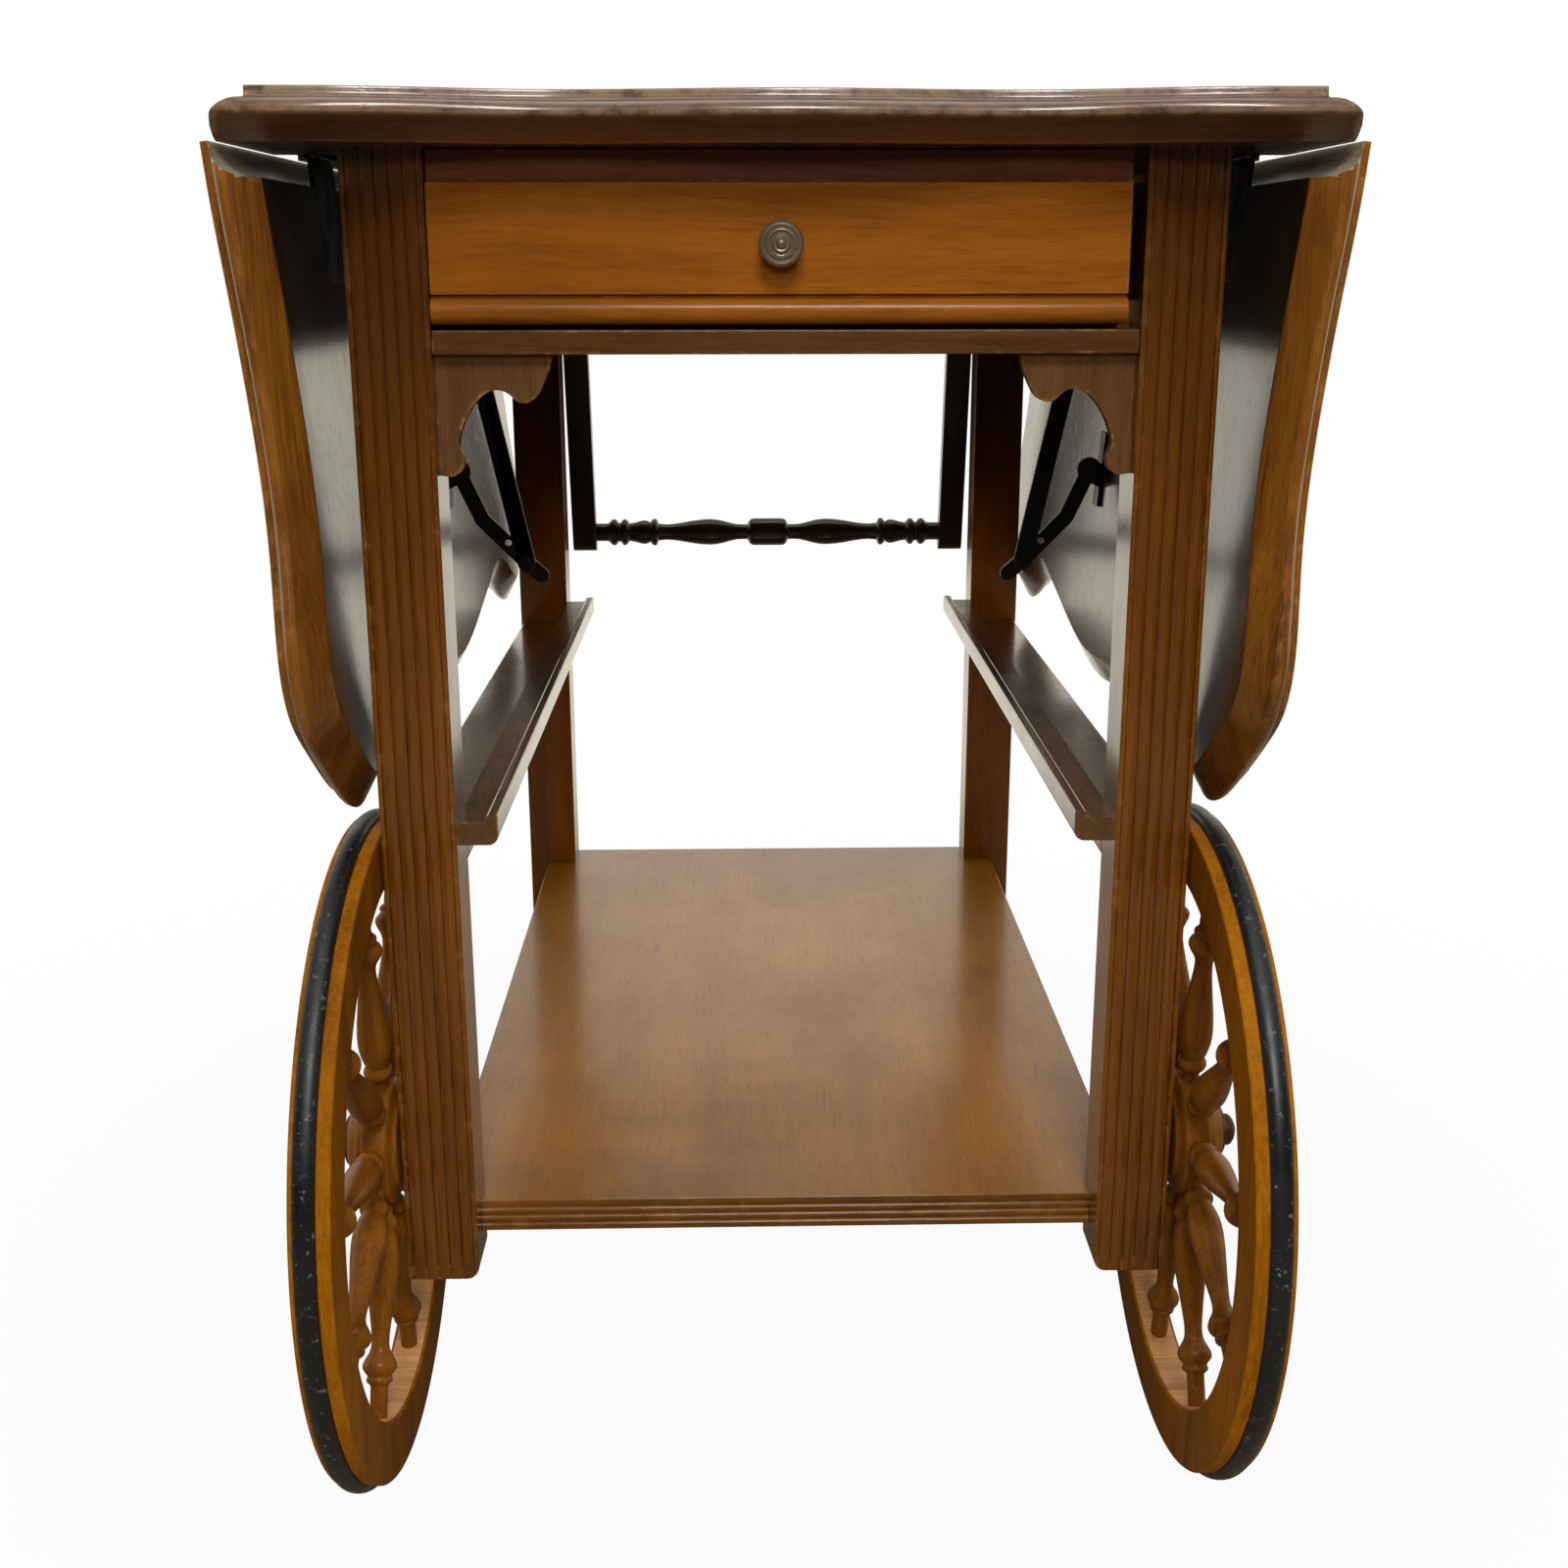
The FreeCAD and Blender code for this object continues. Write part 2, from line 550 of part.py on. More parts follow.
def build_drawer_guides():
    save("right_drawer_runner", runner(DRAWER_BOX_RIGHT - RUNNER_LAP, DRAWER_BOX_RIGHT + SIDE_GAP))
    left = runner(-DRAWER_BOX_LEFT - RUNNER_LAP, -DRAWER_BOX_LEFT + SIDE_GAP)
    save("left_drawer_runner", mirrored(left))
    kicker = box(DRAWER_BOX_RIGHT - RUNNER_LAP, LEG_INNER, FRONT + LEG_DEPTH, REAR_LEG_FRONT,
                 DRAWER_SIDE_TOP + SIDE_GAP, TOP_UNDERSIDE)
    save_pair("right_drawer_kicker", "left_drawer_kicker", kicker)


# --- fret brackets -------------------------------------------------------
def build_frets():
    """Pierced brackets in the corners under the front rail."""
    y = FRONT + FRET_SETBACK

    def at(across, down):
        return (LEG_INNER - across * FRET_REACH, y, RAIL_BOTTOM - down * FRET_DROP)

    top = line(at(0, 0), at(1, 0))
    lobe = curve([at(1, 0), at(0.98, 0.105), at(0.917, 0.246), at(0.835, 0.36), at(0.734, 0.386),
                  at(0.651, 0.325), at(0.569, 0.284), at(0.45, 0.295), at(0.336, 0.377),
                  at(0.239, 0.509), at(0.174, 0.658), at(0.161, 0.772), at(0.194, 0.877),
                  at(0.174, 0.956), at(0.092, 1)])
    base = line(at(0.092, 1), at(0, 1))
    side = line(at(0, 1), at(0, 0))
    face = Part.Face(Part.Wire([top, lobe, base, side]))
    save_pair("right_fret_bracket", "left_fret_bracket", face.extrude(Vector(0, FRET_THICKNESS, 0)))


# --- shelf and tray rails ------------------------------------------------
def build_shelf():
    front = FRONT + SHELF_FRONT_SETBACK
    bottom = SHELF_TOP - SHELF_THICKNESS
    middle = box(-LEG_INNER, LEG_INNER, front, BACK, bottom, SHELF_TOP)
    wide = box(-SHELF_HALF_WIDTH, SHELF_HALF_WIDTH, FRONT + LEG_DEPTH, REAR_LEG_FRONT, bottom, SHELF_TOP)
    shelf = joined([middle, wide])
    reeds = 4
    pitch = SHELF_THICKNESS / reeds
    for i in range(1, reeds):
        z = bottom + i * pitch
        shelf = shelf.cut(rod(-LEG_INNER - 1, front - 0.6, z, (1, 0, 0), 1.4, 2 * LEG_INNER + 2))
    save("lower_shelf", shelf)


def build_tray_rails():
    rail = box(LEG_INNER, LEG_INNER + SIDE_RAIL_THICKNESS, FRONT + LEG_DEPTH, REAR_LEG_FRONT,
               SIDE_RAIL_TOP - SIDE_RAIL_HEIGHT, SIDE_RAIL_TOP)
    save_pair("right_side_rail", "left_side_rail", rail)
    ledge = box(LEG_INNER - LEDGE_WIDTH, LEG_INNER, FRONT, BACK + LEDGE_OVERHANG,
                LEDGE_BOTTOM, LEDGE_BOTTOM + LEDGE_HEIGHT)
    inner = []
    for edge in ledge.Edges:
        b = edge.BoundBox
        if b.ZMax < LEDGE_BOTTOM + 0.1 and b.XMax < LEG_INNER - LEDGE_WIDTH + 0.1 and b.YLength > 1:
            inner.append(edge)
    ledge = ledge.makeFillet(LEDGE_CORNER, inner)
    save_pair("right_tray_ledge", "left_tray_ledge", ledge)


# --- drawer --------------------------------------------------------------
def drawer_profile():
    """Side view of the drawer front: bead, groove, panel and recessed strip."""
    bead_radius = (DRAWER_BEAD_TOP - DRAWER_FRONT_BOTTOM) / 2
    bead_z = DRAWER_FRONT_BOTTOM + bead_radius
    bead_y = bead_radius + 0.5
    points = [(DRAWER_FRONT_BACK, DRAWER_FRONT_BOTTOM)]
    for i in range(13):
        angle = math.radians(-90 - 15 * i)
        points.append((bead_y + bead_radius * math.cos(angle), bead_z + bead_radius * math.sin(angle)))
    points += [
        (DRAWER_GROOVE_SETBACK, DRAWER_BEAD_TOP), (DRAWER_GROOVE_SETBACK, DRAWER_PANEL_BOTTOM),
        (DRAWER_FACE_SETBACK, DRAWER_PANEL_BOTTOM), (DRAWER_FACE_SETBACK, DRAWER_STRIP_BOTTOM - 1.5),
        (DRAWER_FACE_SETBACK + 1.5, DRAWER_STRIP_BOTTOM), (DRAWER_STRIP_SETBACK, DRAWER_STRIP_BOTTOM),
        (DRAWER_STRIP_SETBACK, DRAWER_FRONT_TOP), (DRAWER_FRONT_BACK, DRAWER_FRONT_TOP),
    ]
    return [(DRAWER_LEFT, FRONT + y, z) for y, z in points]


def bottom_board():
    z = DRAWER_SIDE_BOTTOM + DRAWER_BOTTOM_UP
    return box(DRAWER_BOX_LEFT + DRAWER_BOARD - DRAWER_TONGUE, DRAWER_BOX_RIGHT - DRAWER_BOARD + DRAWER_TONGUE,
               DRAWER_BOX_FRONT - DRAWER_TONGUE, DRAWER_BOX_BACK, z, z + DRAWER_BOTTOM_BOARD)


def build_knob():
    """A turned metal knob with a ringed face, on its screw."""
    profile = [
        (-KNOB_SCREW, KNOB_SCREW_RADIUS), (0, KNOB_SCREW_RADIUS), (0, 7.5), (1.5, 7.5), (2.5, 5),
        (6, 4.2), (9, 6), (10.5, KNOB_HEAD_RADIUS),
        (13.5, KNOB_HEAD_RADIUS), (14.8, 9.3), (14.2, 7.6), (15.2, 6.4), (14.8, 4.2), (16.2, 2.6), (16.6, 0.9),
    ]
    knob = turned(profile)
    return aimed(knob, (KNOB_X, FRONT + DRAWER_FACE_SETBACK, KNOB_Z), (0, -1, 0))


def build_drawer():
    front = prism(drawer_profile(), (DRAWER_RIGHT - DRAWER_LEFT, 0, 0))
    board = bottom_board()
    hole = rod(KNOB_X, FRONT + DRAWER_FACE_SETBACK, KNOB_Z, (0, 1, 0), KNOB_SCREW_RADIUS, KNOB_SCREW)
    save("drawer_front", front.cut(board).cut(hole))
    left = box(DRAWER_BOX_LEFT, DRAWER_BOX_LEFT + DRAWER_BOARD, DRAWER_BOX_FRONT, DRAWER_BOX_BACK,
               DRAWER_SIDE_BOTTOM, DRAWER_SIDE_TOP)
    right = box(DRAWER_BOX_RIGHT - DRAWER_BOARD, DRAWER_BOX_RIGHT, DRAWER_BOX_FRONT, DRAWER_BOX_BACK,
                DRAWER_SIDE_BOTTOM, DRAWER_SIDE_TOP)
    save("drawer_left_side", left.cut(board))
    save("drawer_right_side", right.cut(board))
    back_bottom = DRAWER_SIDE_BOTTOM + DRAWER_BOTTOM_UP + DRAWER_BOTTOM_BOARD
    back = box(DRAWER_BOX_LEFT + DRAWER_BOARD, DRAWER_BOX_RIGHT - DRAWER_BOARD,
               DRAWER_BOX_BACK - DRAWER_BOARD, DRAWER_BOX_BACK, back_bottom, DRAWER_SIDE_TOP - 6)
    save("drawer_back", back)
    save("drawer_bottom", board)
    save("drawer_knob", build_knob())


# --- wheels --------------------------------------------------------------
def on_axle(shape):
    """Place a shape turned about +Z on the right axle, +Z pointing outwards."""
    return aimed(shape, (WHEEL_PLANE_X, AXLE_Y, WHEEL_RADIUS), (1, 0, 0))


def spoke():
    """One turned spoke, from its hub tenon to its rim tenon."""
    tenon = SPOKE_TENON_RADIUS
    span = RIM_INNER - HUB_RADIUS
    turning = [
        (0.063, 0.71), (0.09, 0.87), (0.113, 0.8), (0.131, 0.69), (0.154, 0.78), (0.217, 0.97),
        (0.29, 1.0), (0.38, 0.91), (0.489, 0.72), (0.597, 0.555), (0.661, 0.52), (0.697, 0.62),
        (0.733, 0.89), (0.76, 1.01), (0.787, 0.91), (0.807, 0.71), (0.824, 0.73), (0.842, 0.64),
    ]
    body = [(HUB_RADIUS - SPOKE_TENON, tenon), (HUB_RADIUS + 0.036 * span, tenon)]
    body += [(HUB_RADIUS + share * span, size * SPOKE_RADIUS) for share, size in turning]
    body += [(HUB_RADIUS + 0.855 * span, tenon), (RIM_INNER + SPOKE_TENON, tenon)]
    return turned(body)


def spokes():
    result = []
    for i in range(SPOKE_COUNT):
        angle = math.radians(SPOKE_FIRST_ANGLE + 360 * i / SPOKE_COUNT)
        direction = (0, math.cos(angle), math.sin(angle))
        result.append(aimed(spoke(), (WHEEL_PLANE_X, AXLE_Y, WHEEL_RADIUS), direction))
    return result


def build_rim(made):
    half = RIM_HALF_WIDTH
    profile = [
        (-half, RIM_INNER + 1.5), (-half + 1.5, RIM_INNER), (half - 1.5, RIM_INNER), (half, RIM_INNER + 1.5),
        (half, RIM_OUTER - 1), (half - 1, RIM_OUTER), (TYRE_OUT, RIM_OUTER), (TYRE_OUT, TYRE_SEAT),
        (TYRE_IN, TYRE_SEAT), (TYRE_IN, RIM_OUTER), (-half + 1, RIM_OUTER), (-half, RIM_OUTER - 1),
    ]
    rim = on_axle(ring(profile))
    for one in made:
        rim = rim.cut(one)
    save_pair("right_wheel_rim", "left_wheel_rim", rim)


def build_tyre():
    middle = (TYRE_IN + TYRE_OUT) / 2
    half = (TYRE_OUT - TYRE_IN) / 2
    crown = []
    for i in range(9):
        angle = math.radians(22.5 * i)
        crown.append((middle - half * math.cos(angle),
                      RIM_OUTER + (WHEEL_RADIUS - RIM_OUTER) * math.sin(angle)))
    profile = [(TYRE_IN, TYRE_SEAT)] + crown + [(TYRE_OUT, TYRE_SEAT)]
    save_pair("right_wheel_tyre", "left_wheel_tyre", on_axle(ring(profile)))


def build_hub(made):
    profile = [
        (HUB_IN, BUSH_RADIUS), (HUB_IN, 0.7 * HUB_RADIUS), (HUB_IN + 1.5, 0.76 * HUB_RADIUS),
        (HUB_IN + 3.5, HUB_RADIUS - 1), (HUB_IN + 4.5, HUB_RADIUS), (5.5, HUB_RADIUS), (6.5, HUB_RADIUS - 1),
        (8, 0.82 * HUB_RADIUS), (10, 0.79 * HUB_RADIUS), (12, 0.68 * HUB_RADIUS),
        (HUB_OUT - 2.5, 0.6 * HUB_RADIUS), (HUB_OUT - 1, 0.5 * HUB_RADIUS), (HUB_OUT, 0.455 * HUB_RADIUS),
        (HUB_OUT, BUSH_RADIUS),
    ]
    hub = on_axle(ring(profile))
    for one in made:
        hub = hub.cut(one)
    save_pair("right_wheel_hub", "left_wheel_hub", hub)
    bore = AXLE_RADIUS + RUNNING_GAP
    bush = ring([(HUB_IN, bore), (HUB_IN, BUSH_RADIUS), (HUB_OUT, BUSH_RADIUS), (HUB_OUT, bore)])
    save_pair("right_wheel_bush", "left_wheel_bush", on_axle(bush))


def build_axle():
    """Stub bolt in the leg, with a collar inside the hub and a washer and nut outside."""
    collar_end = WHEEL_PLANE_X + HUB_IN - SIDE_GAP
    washer_start = WHEEL_PLANE_X + HUB_OUT + SIDE_GAP
    nut_start = washer_start + WASHER_THICKNESS
    bolt = rod(HALF_WIDTH - AXLE_EMBEDDED, AXLE_Y, WHEEL_RADIUS, (1, 0, 0), AXLE_RADIUS,
               nut_start + NUT_LENGTH - 2 - HALF_WIDTH + AXLE_EMBEDDED)
    collar = rod(HALF_WIDTH, AXLE_Y, WHEEL_RADIUS, (1, 0, 0), WASHER_RADIUS, collar_end - HALF_WIDTH)
    washer = rod(washer_start, AXLE_Y, WHEEL_RADIUS, (1, 0, 0), WASHER_RADIUS, WASHER_THICKNESS)
    dome = turned([(0, NUT_RADIUS), (NUT_LENGTH - 4, NUT_RADIUS), (NUT_LENGTH - 1.5, 6), (NUT_LENGTH, 2)])
    dome = aimed(dome, (nut_start, AXLE_Y, WHEEL_RADIUS), (1, 0, 0))
    post = joined([bolt, collar])
    nut = dome.cut(bolt)
    ring_washer = washer.cut(bolt)
    save_pair("right_axle", "left_axle", group([post, ring_washer, nut]))


def build_wheels():
    made = spokes()
    save_pair("right_wheel_spokes", "left_wheel_spokes", group(made))
    build_rim(made)
    build_tyre()
    build_hub(made)
    build_axle()


# --- casters -------------------------------------------------------------
def build_casters():
    x = CASTER_X
    y = CASTER_Y
    wheel_y = y + CASTER_TRAIL
    flange_bottom = REAR_LEG_BOTTOM - CASTER_FLANGE
    bore = CASTER_STEM_RADIUS + RUNNING_GAP
    socket = rod(x, y, REAR_LEG_BOTTOM, (0, 0, 1), CASTER_SOCKET_RADIUS, CASTER_SOCKET_LENGTH)
    flange = rod(x, y, flange_bottom, (0, 0, 1), CASTER_FLANGE_RADIUS, CASTER_FLANGE)
    hole = rod(x, y, flange_bottom - 1, (0, 0, 1), bore, CASTER_SOCKET_LENGTH)
    socket = joined([socket, flange]).cut(hole)
    save("caster_sockets", group([socket, mirrored(socket)]))
    plate_top = flange_bottom - SIDE_GAP
    plate_z = plate_top - CASTER_PLATE
    half = CASTER_WIDTH / 2 + 1.0
    plate = box(x - half - CASTER_ARM, x + half + CASTER_ARM, y - 11, wheel_y + 2, plate_z, plate_top)
    arms = []
    for start in (x - half - CASTER_ARM, x + half):
        web = [(start, y - 9, plate_z), (start, wheel_y + 2, plate_z),
               (start, wheel_y + CASTER_ARM_WIDTH / 2, CASTER_RADIUS),
               (start, wheel_y - CASTER_ARM_WIDTH / 2, CASTER_RADIUS)]
        arms.append(prism(web, (CASTER_ARM, 0, 0)))
        arms.append(rod(start, wheel_y, CASTER_RADIUS, (1, 0, 0), CASTER_ARM_WIDTH / 2, CASTER_ARM))
    stem = rod(x, y, plate_z, (0, 0, 1), CASTER_STEM_RADIUS, CASTER_SOCKET_LENGTH - CASTER_STEM_PLAY)
    pin = rod(x - half - CASTER_ARM - 1.5, wheel_y, CASTER_RADIUS, (1, 0, 0), CASTER_PIN_RADIUS,
              2 * (half + CASTER_ARM + 1.5))
    save_pair("right_caster_fork", "left_caster_fork", joined([plate, stem, pin] + arms))
    edge = CASTER_WIDTH / 2
    inner = CASTER_PIN_RADIUS + RUNNING_GAP
    tread = ring([(-edge, inner), (-edge, CASTER_RADIUS - 2.5), (-edge + 2.5, CASTER_RADIUS),
                  (edge - 2.5, CASTER_RADIUS), (edge, CASTER_RADIUS - 2.5), (edge, inner)])
    wheel = aimed(tread, (x, wheel_y, CASTER_RADIUS), (1, 0, 0))
    save_pair("right_caster_wheel", "left_caster_wheel", wheel)


# --- pull handle ---------------------------------------------------------
def tilted(shape):
    """Swing a hanging piece of the pull handle out to its resting tilt."""
    moved = shape.copy()
    moved.rotate(Vector(0, HANDLE_PIVOT_Y, HANDLE_PIVOT_Z), Vector(1, 0, 0), HANDLE_TILT)
    return moved


def spindle_profile():
    """Half of the turned grip, from its tenon to the middle: (share of the half grip, share of its radius)."""
    half = LEG_INNER - SIDE_GAP - HANDLE_ARM_WIDTH
    turning = [
        (0, 0.65), (0.068, 0.65), (0.082, 0.78), (0.095, 0.97), (0.116, 0.97), (0.13, 0.7), (0.143, 0.7),
        (0.157, 0.97), (0.177, 0.97), (0.194, 0.65), (0.232, 0.74), (0.286, 0.89), (0.314, 0.73),
        (0.327, 0.99), (0.348, 0.99), (0.361, 0.61), (0.409, 0.575), (0.491, 0.68), (0.6, 0.905),
        (0.668, 0.957), (0.736, 0.835), (0.818, 0.575), (0.877, 0.548), (0.891, 0.826), (0.911, 1.0), (1, 1.0),
    ]
    tenon = [(-half - HANDLE_TENON, HANDLE_TENON_RADIUS), (-half, HANDLE_TENON_RADIUS)]
    return tenon + [(-half + share * half, size * GRIP_RADIUS) for share, size in turning]


def build_handle():
    y = HANDLE_PIVOT_Y
    z = HANDLE_PIVOT_Z
    grip_z = z - HANDLE_REACH
    outer = LEG_INNER - SIDE_GAP
    inner = outer - HANDLE_ARM_WIDTH
    radius = HANDLE_ARM_THICKNESS / 2
    low = grip_z - HANDLE_TAIL + radius
    arm = joined([
        box(inner, outer, y - radius, y + radius, low, z),
        rod(inner, y, z, (1, 0, 0), radius, HANDLE_ARM_WIDTH),
        rod(inner, y, low, (1, 0, 0), radius, HANDLE_ARM_WIDTH),
    ])
    arm = arm.cut(rod(inner - 1, y, z, (1, 0, 0), HANDLE_PIN_RADIUS + RUNNING_GAP, HANDLE_ARM_WIDTH + 2))
    arm = arm.cut(rod(inner - 1, y, grip_z, (1, 0, 0), HANDLE_TENON_RADIUS, HANDLE_TENON + 1))
    save_pair("handle_right_arm", "handle_left_arm", tilted(arm))
    left = spindle_profile()
    right = [(-a, r) for a, r in reversed(left[:-1])]
    grip = aimed(turned(left + right), (0, y, grip_z), (1, 0, 0))
    save("handle_spindle", tilted(grip))
    shaft = rod(inner - SIDE_GAP, y, z, (1, 0, 0), HANDLE_PIN_RADIUS,
                LEG_INNER + HANDLE_PIN_EMBEDDED - inner + SIDE_GAP)
    head = rod(inner - SIDE_GAP - 3, y, z, (1, 0, 0), 6.5, 3)
    pivot = joined([shaft, head])
    save("handle_pivots", group([pivot, mirrored(pivot)]))
    rise = z - REAR_APRON_BOTTOM
    slope = math.radians(HANDLE_TILT)

    def rest_face(drop):
        return y + drop * math.tan(slope) - radius / math.cos(slope)

    block = [(inner, REAR_APRON_BACK, REAR_APRON_BOTTOM), (inner, rest_face(rise), REAR_APRON_BOTTOM),
             (inner, rest_face(rise - STOP_HEIGHT), REAR_APRON_BOTTOM + STOP_HEIGHT),
             (inner, REAR_APRON_BACK, REAR_APRON_BOTTOM + STOP_HEIGHT)]
    stop = prism(block, (HANDLE_ARM_WIDTH, 0, 0))
    save("handle_stop_blocks", group([stop, mirrored(stop)]))


# --- folding stays -------------------------------------------------------
def bar(a, b, width, y0):
    """A flat bar with round ends between two (x, z) points."""
    direction = Vector(b[0] - a[0], 0, b[1] - a[1])
    side = Vector(-direction.z, 0, direction.x).normalize() * (width / 2)
    start = Vector(a[0], y0, a[1])
    end = Vector(b[0], y0, b[1])
    corners = [start + side, end + side, end - side, start - side]
    wire = Part.makePolygon(corners + [corners[0]])
    body = Part.Face(wire).extrude(Vector(0, STAY_BAR, 0))
    ends = [rod(p[0], y0, p[1], (0, 1, 0), width / 2, STAY_BAR) for p in (a, b)]
    return joined([body] + ends)


def stay_layers():
    """Front faces of the frame lug, arm, link and leaf lug, side by side."""
    step = STAY_BAR + SIDE_GAP
    first = MIDDLE - 2 * step
    return [first, first + step, first + 2 * step, first + 3 * step]


def build_frame_bracket(layer):
    """A plate under the side apron with a lug and a headed pin for the arm."""
    x, z = STAY_FRAME_PIVOT
    bottom = SIDE_APRON_BOTTOM - STAY_PLATE
    stack = 2 * STAY_BAR + 2 * SIDE_GAP
    lug = bar((x, z), (x - 3, SIDE_APRON_BOTTOM - 1), STAY_LUG_WIDTH, layer)
    lug = lug.common(box(0, 2 * x, layer - 1, layer + STAY_BAR + 1, 0, SIDE_APRON_BOTTOM))
    foot = box(x - 11, x + 5, layer - STAY_FOOT_LENGTH, layer + STAY_BAR, bottom, SIDE_APRON_BOTTOM)
    pin = rod(x, layer, z, (0, 1, 0), STAY_PIN_RADIUS, stack)
    head = rod(x, layer + stack, z, (0, 1, 0), STAY_HEAD_RADIUS - 1, STAY_HEAD)
    bracket = joined([lug, foot, pin, head])
    save("stay_frame_brackets", group([bracket, mirrored(bracket)]))


def build_leaf_bracket(layer):
    """A plate on the leaf's underside with one lug reaching to the link's pin."""
    local = Vector(-STAY_LEAF_IN, 0, -STAY_LEAF_DROP)
    raised = Rotation(Vector(0, 1, 0), -LEAF_DROP).multVec(local) + Vector(PIN_X, 0, PIN_Z)
    x = raised.x
    foot = box(x - STAY_LEAF_FOOT / 2, x + STAY_LEAF_FOOT / 2, layer, layer + STAY_FOOT_LENGTH,
               TOP_UNDERSIDE - STAY_PLATE, TOP_UNDERSIDE)
    lug = bar((x, raised.z), (x + 4, TOP_UNDERSIDE - 2), STAY_LUG_WIDTH, layer)
    lug = lug.common(box(0, 2 * x, layer - 1, layer + STAY_BAR + 1, 0, TOP_UNDERSIDE))
    reach = STAY_BAR + 2 * SIDE_GAP
    pin = rod(x, layer - reach, raised.z, (0, 1, 0), STAY_PIN_RADIUS, reach + 1)
    head = rod(x, layer - reach - STAY_HEAD, raised.z, (0, 1, 0), STAY_HEAD_RADIUS, STAY_HEAD)
    bracket = joined([foot, lug, pin, head])
    save_pair("right_stay_leaf_bracket", "left_stay_leaf_bracket", hung(bracket))


def build_stay_arm(layer):
    pivot = STAY_FRAME_PIVOT
    end = STAY_KNUCKLE
    arm = bar(pivot, end, STAY_ARM_WIDTH, layer)
    rivet = rod(end[0], layer - STAY_HEAD, end[1], (0, 1, 0), STAY_HEAD_RADIUS - 1, STAY_HEAD)
    arm = joined([arm, rivet])
    bore = rod(pivot[0], layer - 1, pivot[1], (0, 1, 0), STAY_PIN_RADIUS + RUNNING_GAP, STAY_BAR + 2)
    save_pair("right_stay_arm", "left_stay_arm", arm.cut(bore))


def build_stay_link(layer):
    """The short gooseneck link, with a tail past the knuckle and a disc at the leaf end."""
    knee = STAY_KNUCKLE
    pivot = STAY_LEAF_PIVOT
    bend = (knee[0] + 0.55 * (pivot[0] - knee[0]) + 5, knee[1] + 0.55 * (pivot[1] - knee[1]) - 4)
    tail = (knee[0] - 9, knee[1] - 8)
    disc = rod(pivot[0], layer, pivot[1], (0, 1, 0), 8, STAY_BAR)
    head = rod(knee[0], layer + STAY_BAR, knee[1], (0, 1, 0), STAY_HEAD_RADIUS - 1, STAY_HEAD)
    link = joined([bar(knee, bend, STAY_LINK_WIDTH, layer), bar(bend, pivot, STAY_LINK_WIDTH, layer),
                   bar(tail, knee, STAY_LINK_WIDTH, layer), disc, head])
    bore = rod(pivot[0], layer - 1, pivot[1], (0, 1, 0), STAY_PIN_RADIUS + RUNNING_GAP, STAY_BAR + 2)
    eye = rod(knee[0] + 12, layer - 1, knee[1] + 13.5, (0, 1, 0), 2.2, STAY_BAR + 2)
    save_pair("right_stay_link", "left_stay_link", link.cut(bore).cut(eye))


def build_stays():
    layers = stay_layers()
    build_frame_bracket(layers[0])
    build_stay_arm(layers[1])
    build_stay_link(layers[2])
    build_leaf_bracket(layers[3])


os.makedirs("parts", exist_ok=True)
build_top()
build_leaf()
build_hinges()
build_front_leg()
build_rear_leg()
build_aprons()
build_drawer_guides()
build_frets()
build_shelf()
build_tray_rails()
build_drawer()
build_wheels()
build_casters()
build_handle()
build_stays()
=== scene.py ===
import json
import math

import bmesh
import bpy
import numpy as np
from mathutils import Euler, Matrix, Vector


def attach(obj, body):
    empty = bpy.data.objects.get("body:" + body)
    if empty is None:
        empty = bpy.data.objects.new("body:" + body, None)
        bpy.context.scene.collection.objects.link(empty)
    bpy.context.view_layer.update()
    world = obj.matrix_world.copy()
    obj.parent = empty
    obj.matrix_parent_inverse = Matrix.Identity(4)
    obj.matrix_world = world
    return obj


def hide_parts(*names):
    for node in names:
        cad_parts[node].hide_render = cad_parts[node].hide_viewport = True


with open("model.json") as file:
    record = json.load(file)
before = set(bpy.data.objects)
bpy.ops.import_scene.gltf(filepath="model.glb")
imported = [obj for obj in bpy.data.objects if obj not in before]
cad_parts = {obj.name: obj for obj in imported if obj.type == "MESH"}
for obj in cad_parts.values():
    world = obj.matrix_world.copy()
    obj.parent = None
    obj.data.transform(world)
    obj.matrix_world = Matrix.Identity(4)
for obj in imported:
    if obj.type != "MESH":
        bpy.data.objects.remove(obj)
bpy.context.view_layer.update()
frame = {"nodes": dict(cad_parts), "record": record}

MM = 0.001
BODY_OF = {n: b for b, nodes in frame["record"]["behaviour"]["bodies"].items() for n in nodes}

# --- sizes shared with the CAD part, in millimetres ------------------------
TOP = 708.0
UNDERSIDE = 685.5
FRONT = -273.25
BACK = 369.75
MIDDLE = 48.25
LEG_INNER = 167.0
LEG_OUTER = 205.0
TOP_HALF = 376.0
LEAF_HALF = 384.0
PIN_X = 233.3
PIN_Z = 687.0
ROUND = 16.0
COVE = 16.6
LEAF_REACH = 319.99
LEAF_DROP = 94.5
AXLE_Y = -253.25
AXLE_Z = 179.0
WHEEL_X = 217.0
HANDLE_Y = 361.75
HANDLE_Z = 640.0
HANDLE_TILT = 12.0
HANDLE_REACH = 232.0
KNOB_X = -2.85
HINGE_YS = (MIDDLE - 230, MIDDLE + 230)
HINGE_HALF = 25.0
KNUCKLE_ROOM = 3.35
LEG_DEPTH = 34.0
LEG_BOTTOM = 104.5
FOOT_ROUND = 8.0
SHELF_UNDER = 122.1
SHELF_TOP = 140.5
SHELF_HALF = 190.0
FRET_TOP = 593.0
FRET_LENGTH = 54.5
FRET_DROP = 57.0
SPOKES = 10
FIRST_SPOKE = 28
RIM_INNER = 144.5
RING_STEPS = 160


